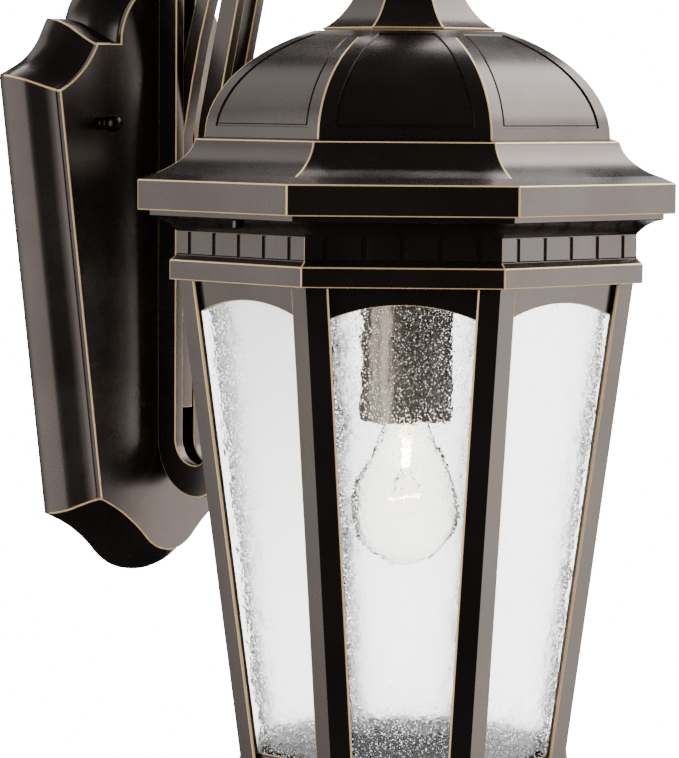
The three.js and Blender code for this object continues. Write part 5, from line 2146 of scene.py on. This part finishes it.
def coiled(route: Sequence[Vector], turns: int, radius: float, per_turn: int) -> list[Vector]:
    """A helix wound along a route.

    Args:
        route: the points that it follows.
        turns: how many turns it has.
        radius: the helix's radius.
        per_turn: points in each turn.

    Returns:
        The helix's points.
    """
    made = []
    count = turns * per_turn
    for i in range(count + 1):
        along = i / count * (len(route) - 1)
        index = min(int(along), len(route) - 2)
        here = route[index].lerp(route[index + 1], along - index)
        way = (route[index + 1] - route[index]).normalized()
        side = way.cross(Vector((0, 0, 1))).normalized()
        angle = 2 * math.pi * i / per_turn
        made.append(here + side * radius * math.cos(angle) + way.cross(side) * radius * math.sin(angle))
    return made


# ---------------------------------------------------------------- studio


@dataclass(frozen=True)
class SoftBox:
    """A soft box three metres off, facing the lantern.

    around is its direction in degrees from +X, and above its height over the horizon. Its width
    and height are in metres, and seen_through says whether it shows in the glass.
    """

    name: str
    around: float
    above: float
    size: Point
    radiance: float
    seen_through: bool = False
    distance: float = 3.0

    def build(self, centre: Vector) -> None:
        """Hangs the box.

        Args:
            centre: the place that it faces.
        """
        turn, lift = math.radians(self.around), math.radians(self.above)
        level = Vector((math.cos(turn), math.sin(turn), 0)) * math.cos(lift)
        way = level + Vector((0, 0, math.sin(lift)))
        bpy.ops.object.light_add(type="AREA", location=centre + way * self.distance)
        box = bpy.context.active_object
        box.name = self.name
        box.data.shape = "RECTANGLE"
        box.data.size, box.data.size_y = self.size
        box.data.energy = self.radiance * math.pi * self.size[0] * self.size[1]
        box.rotation_euler = way.to_track_quat("Z", "Y").to_euler()
        box.visible_camera = False
        box.visible_transmission = self.seen_through


@dataclass
class Studio:
    """A pale floor, a white room and soft boxes, with the camera at the viewing angle.

    The camera's places are in millimetres, the floor's height in metres. fill, gloss, through and
    white are the room's brightness for diffuse, mirrored, glass and camera rays.
    """

    axis: Vector
    heading: float = math.radians(42.9)
    distance: float = 2027.0
    side_step: float = 37.6
    height: float = 20.0
    pitch: float = math.radians(4.55)
    roll: float = math.radians(0.40)
    lens: float = 172.16
    floor: float = -0.95
    fill: float = 0.9
    gloss: float = 0.012
    through: float = 24.0
    white: float = 20.0
    boxes: tuple[SoftBox, ...] = (
        SoftBox("right_box", -48, 2, (1.6, 3.2), 3.9),
        SoftBox("right_high_box", -20, 42, (2.4, 1.7), 7.0),
        SoftBox("left_box", 155, 2, (3.2, 3.2), 2.0, seen_through=True),
        SoftBox("left_high_box", 108, 40, (1.9, 1.5), 1.25),
        SoftBox("back_high_box", 47, 55, (2.0, 0.7), 5.0),
        SoftBox("back_box", 47, 4, (2.6, 2.6), 1.3),
    )

    def build_camera(self) -> None:
        """Sets the camera."""
        ahead = Vector((math.sin(self.heading), math.cos(self.heading), 0))
        right = Vector((math.cos(self.heading), -math.sin(self.heading), 0))
        level = Vector((self.axis.x, self.axis.y, self.height))
        place = level - ahead * self.distance - right * self.side_step
        look = ahead * math.cos(self.pitch) - Vector((0, 0, math.sin(self.pitch)))
        above = right.cross(look)
        across = right * math.cos(self.roll) + above * math.sin(self.roll)
        upward = above * math.cos(self.roll) - right * math.sin(self.roll)
        bpy.ops.object.camera_add(location=place * MM)
        camera = bpy.context.active_object
        camera.name = "viewpoint"
        turn = Matrix((across, upward, -look)).transposed()
        camera.rotation_mode = "QUATERNION"
        camera.rotation_quaternion = turn.to_quaternion()
        camera.data.lens = self.lens
        camera.data.sensor_width = 36.0
        camera.data.clip_end = 30.0
        bpy.context.scene.camera = camera

    def build_floor(self) -> None:
        """Lays a pale floor well below the lantern."""
        bpy.ops.mesh.primitive_plane_add(size=3.4, location=(0, 0, self.floor))
        floor = bpy.context.active_object
        floor.name = "studio_floor"
        material, bench, shader, place = start_material("pale_floor")
        tone = bench.blend(bench.noise(place, 3.0), (0.93, 0.93, 0.93), (0.91, 0.91, 0.91))
        bench.join(tone, shader, "Base Color")
        dial(shader, Roughness=0.8)
        bench.join(tone, shader, "Emission Color")
        dial(shader, Emission_Strength=3.0)
        floor.data.materials.append(material)
        floor.visible_glossy = floor.visible_diffuse = False

    def build_room(self) -> None:
        """Makes the white room, which the gloss sees as dim."""
        world = bpy.data.worlds.new("white_room")
        world.use_nodes = True
        bench = NodeBench(world.node_tree)
        strengths = (self.fill, self.gloss, self.through, self.white)
        shades = [world.node_tree.nodes["Background"]]
        while len(shades) < len(strengths):
            shades.append(bench.add("Background"))
        for shade, strength in zip(shades, strengths, strict=True):
            dial(shade, Color=(1.0, 1.0, 1.0, 1.0), Strength=strength)
        path = bench.add("LightPath")
        mirrored = bench.math("GREATER_THAN", path.outputs["Glossy Depth"], 0.5)
        outdoors = bench.math("LESS_THAN", path.outputs["Transmission Depth"], 0.5)
        bounced = bench.math("GREATER_THAN", path.outputs["Diffuse Depth"], 0.5)
        scattered = bench.math("MULTIPLY", bounced, outdoors)
        first_seen = path.outputs["Is Camera Ray"]
        seen = shades[2]
        for ray, shade in ((scattered, shades[0]), (mirrored, shades[1]), (first_seen, shades[3])):
            mixed = bench.add("MixShader")
            bench.join(ray, mixed, 0)
            bench.join(seen.outputs[0], mixed, 1)
            bench.join(shade.outputs[0], mixed, 2)
            seen = mixed
        bench.join(seen.outputs[0], world.node_tree.nodes["World Output"], "Surface")
        bpy.context.scene.world = world

    def build(self) -> None:
        """Makes the whole studio."""
        self.build_floor()
        self.build_room()
        for box in self.boxes:
            box.build(self.axis * MM - Vector((0, 0, 0.15)))
        self.build_camera()


# ---------------------------------------------------------------- assembly


def main() -> None:
    """Builds the lantern and its studio, piece by piece."""
    logging.basicConfig(level=logging.INFO, format="%(name)s %(message)s")
    low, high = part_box("hanging_stem")
    axis = Vector(((low[0] + high[0]) / 2, (low[1] + high[1]) / 2, 0)) / MM
    finishes = Finishes()
    WallPlate(finishes).build()
    HookArm(finishes).build()
    Hood(finishes, axis).build()
    Cage(finishes, axis).build()
    Fixings(finishes, axis).build()
    Lamp(finishes, axis).build()
    Studio(axis).build()


if __name__ == "__main__":
    main()
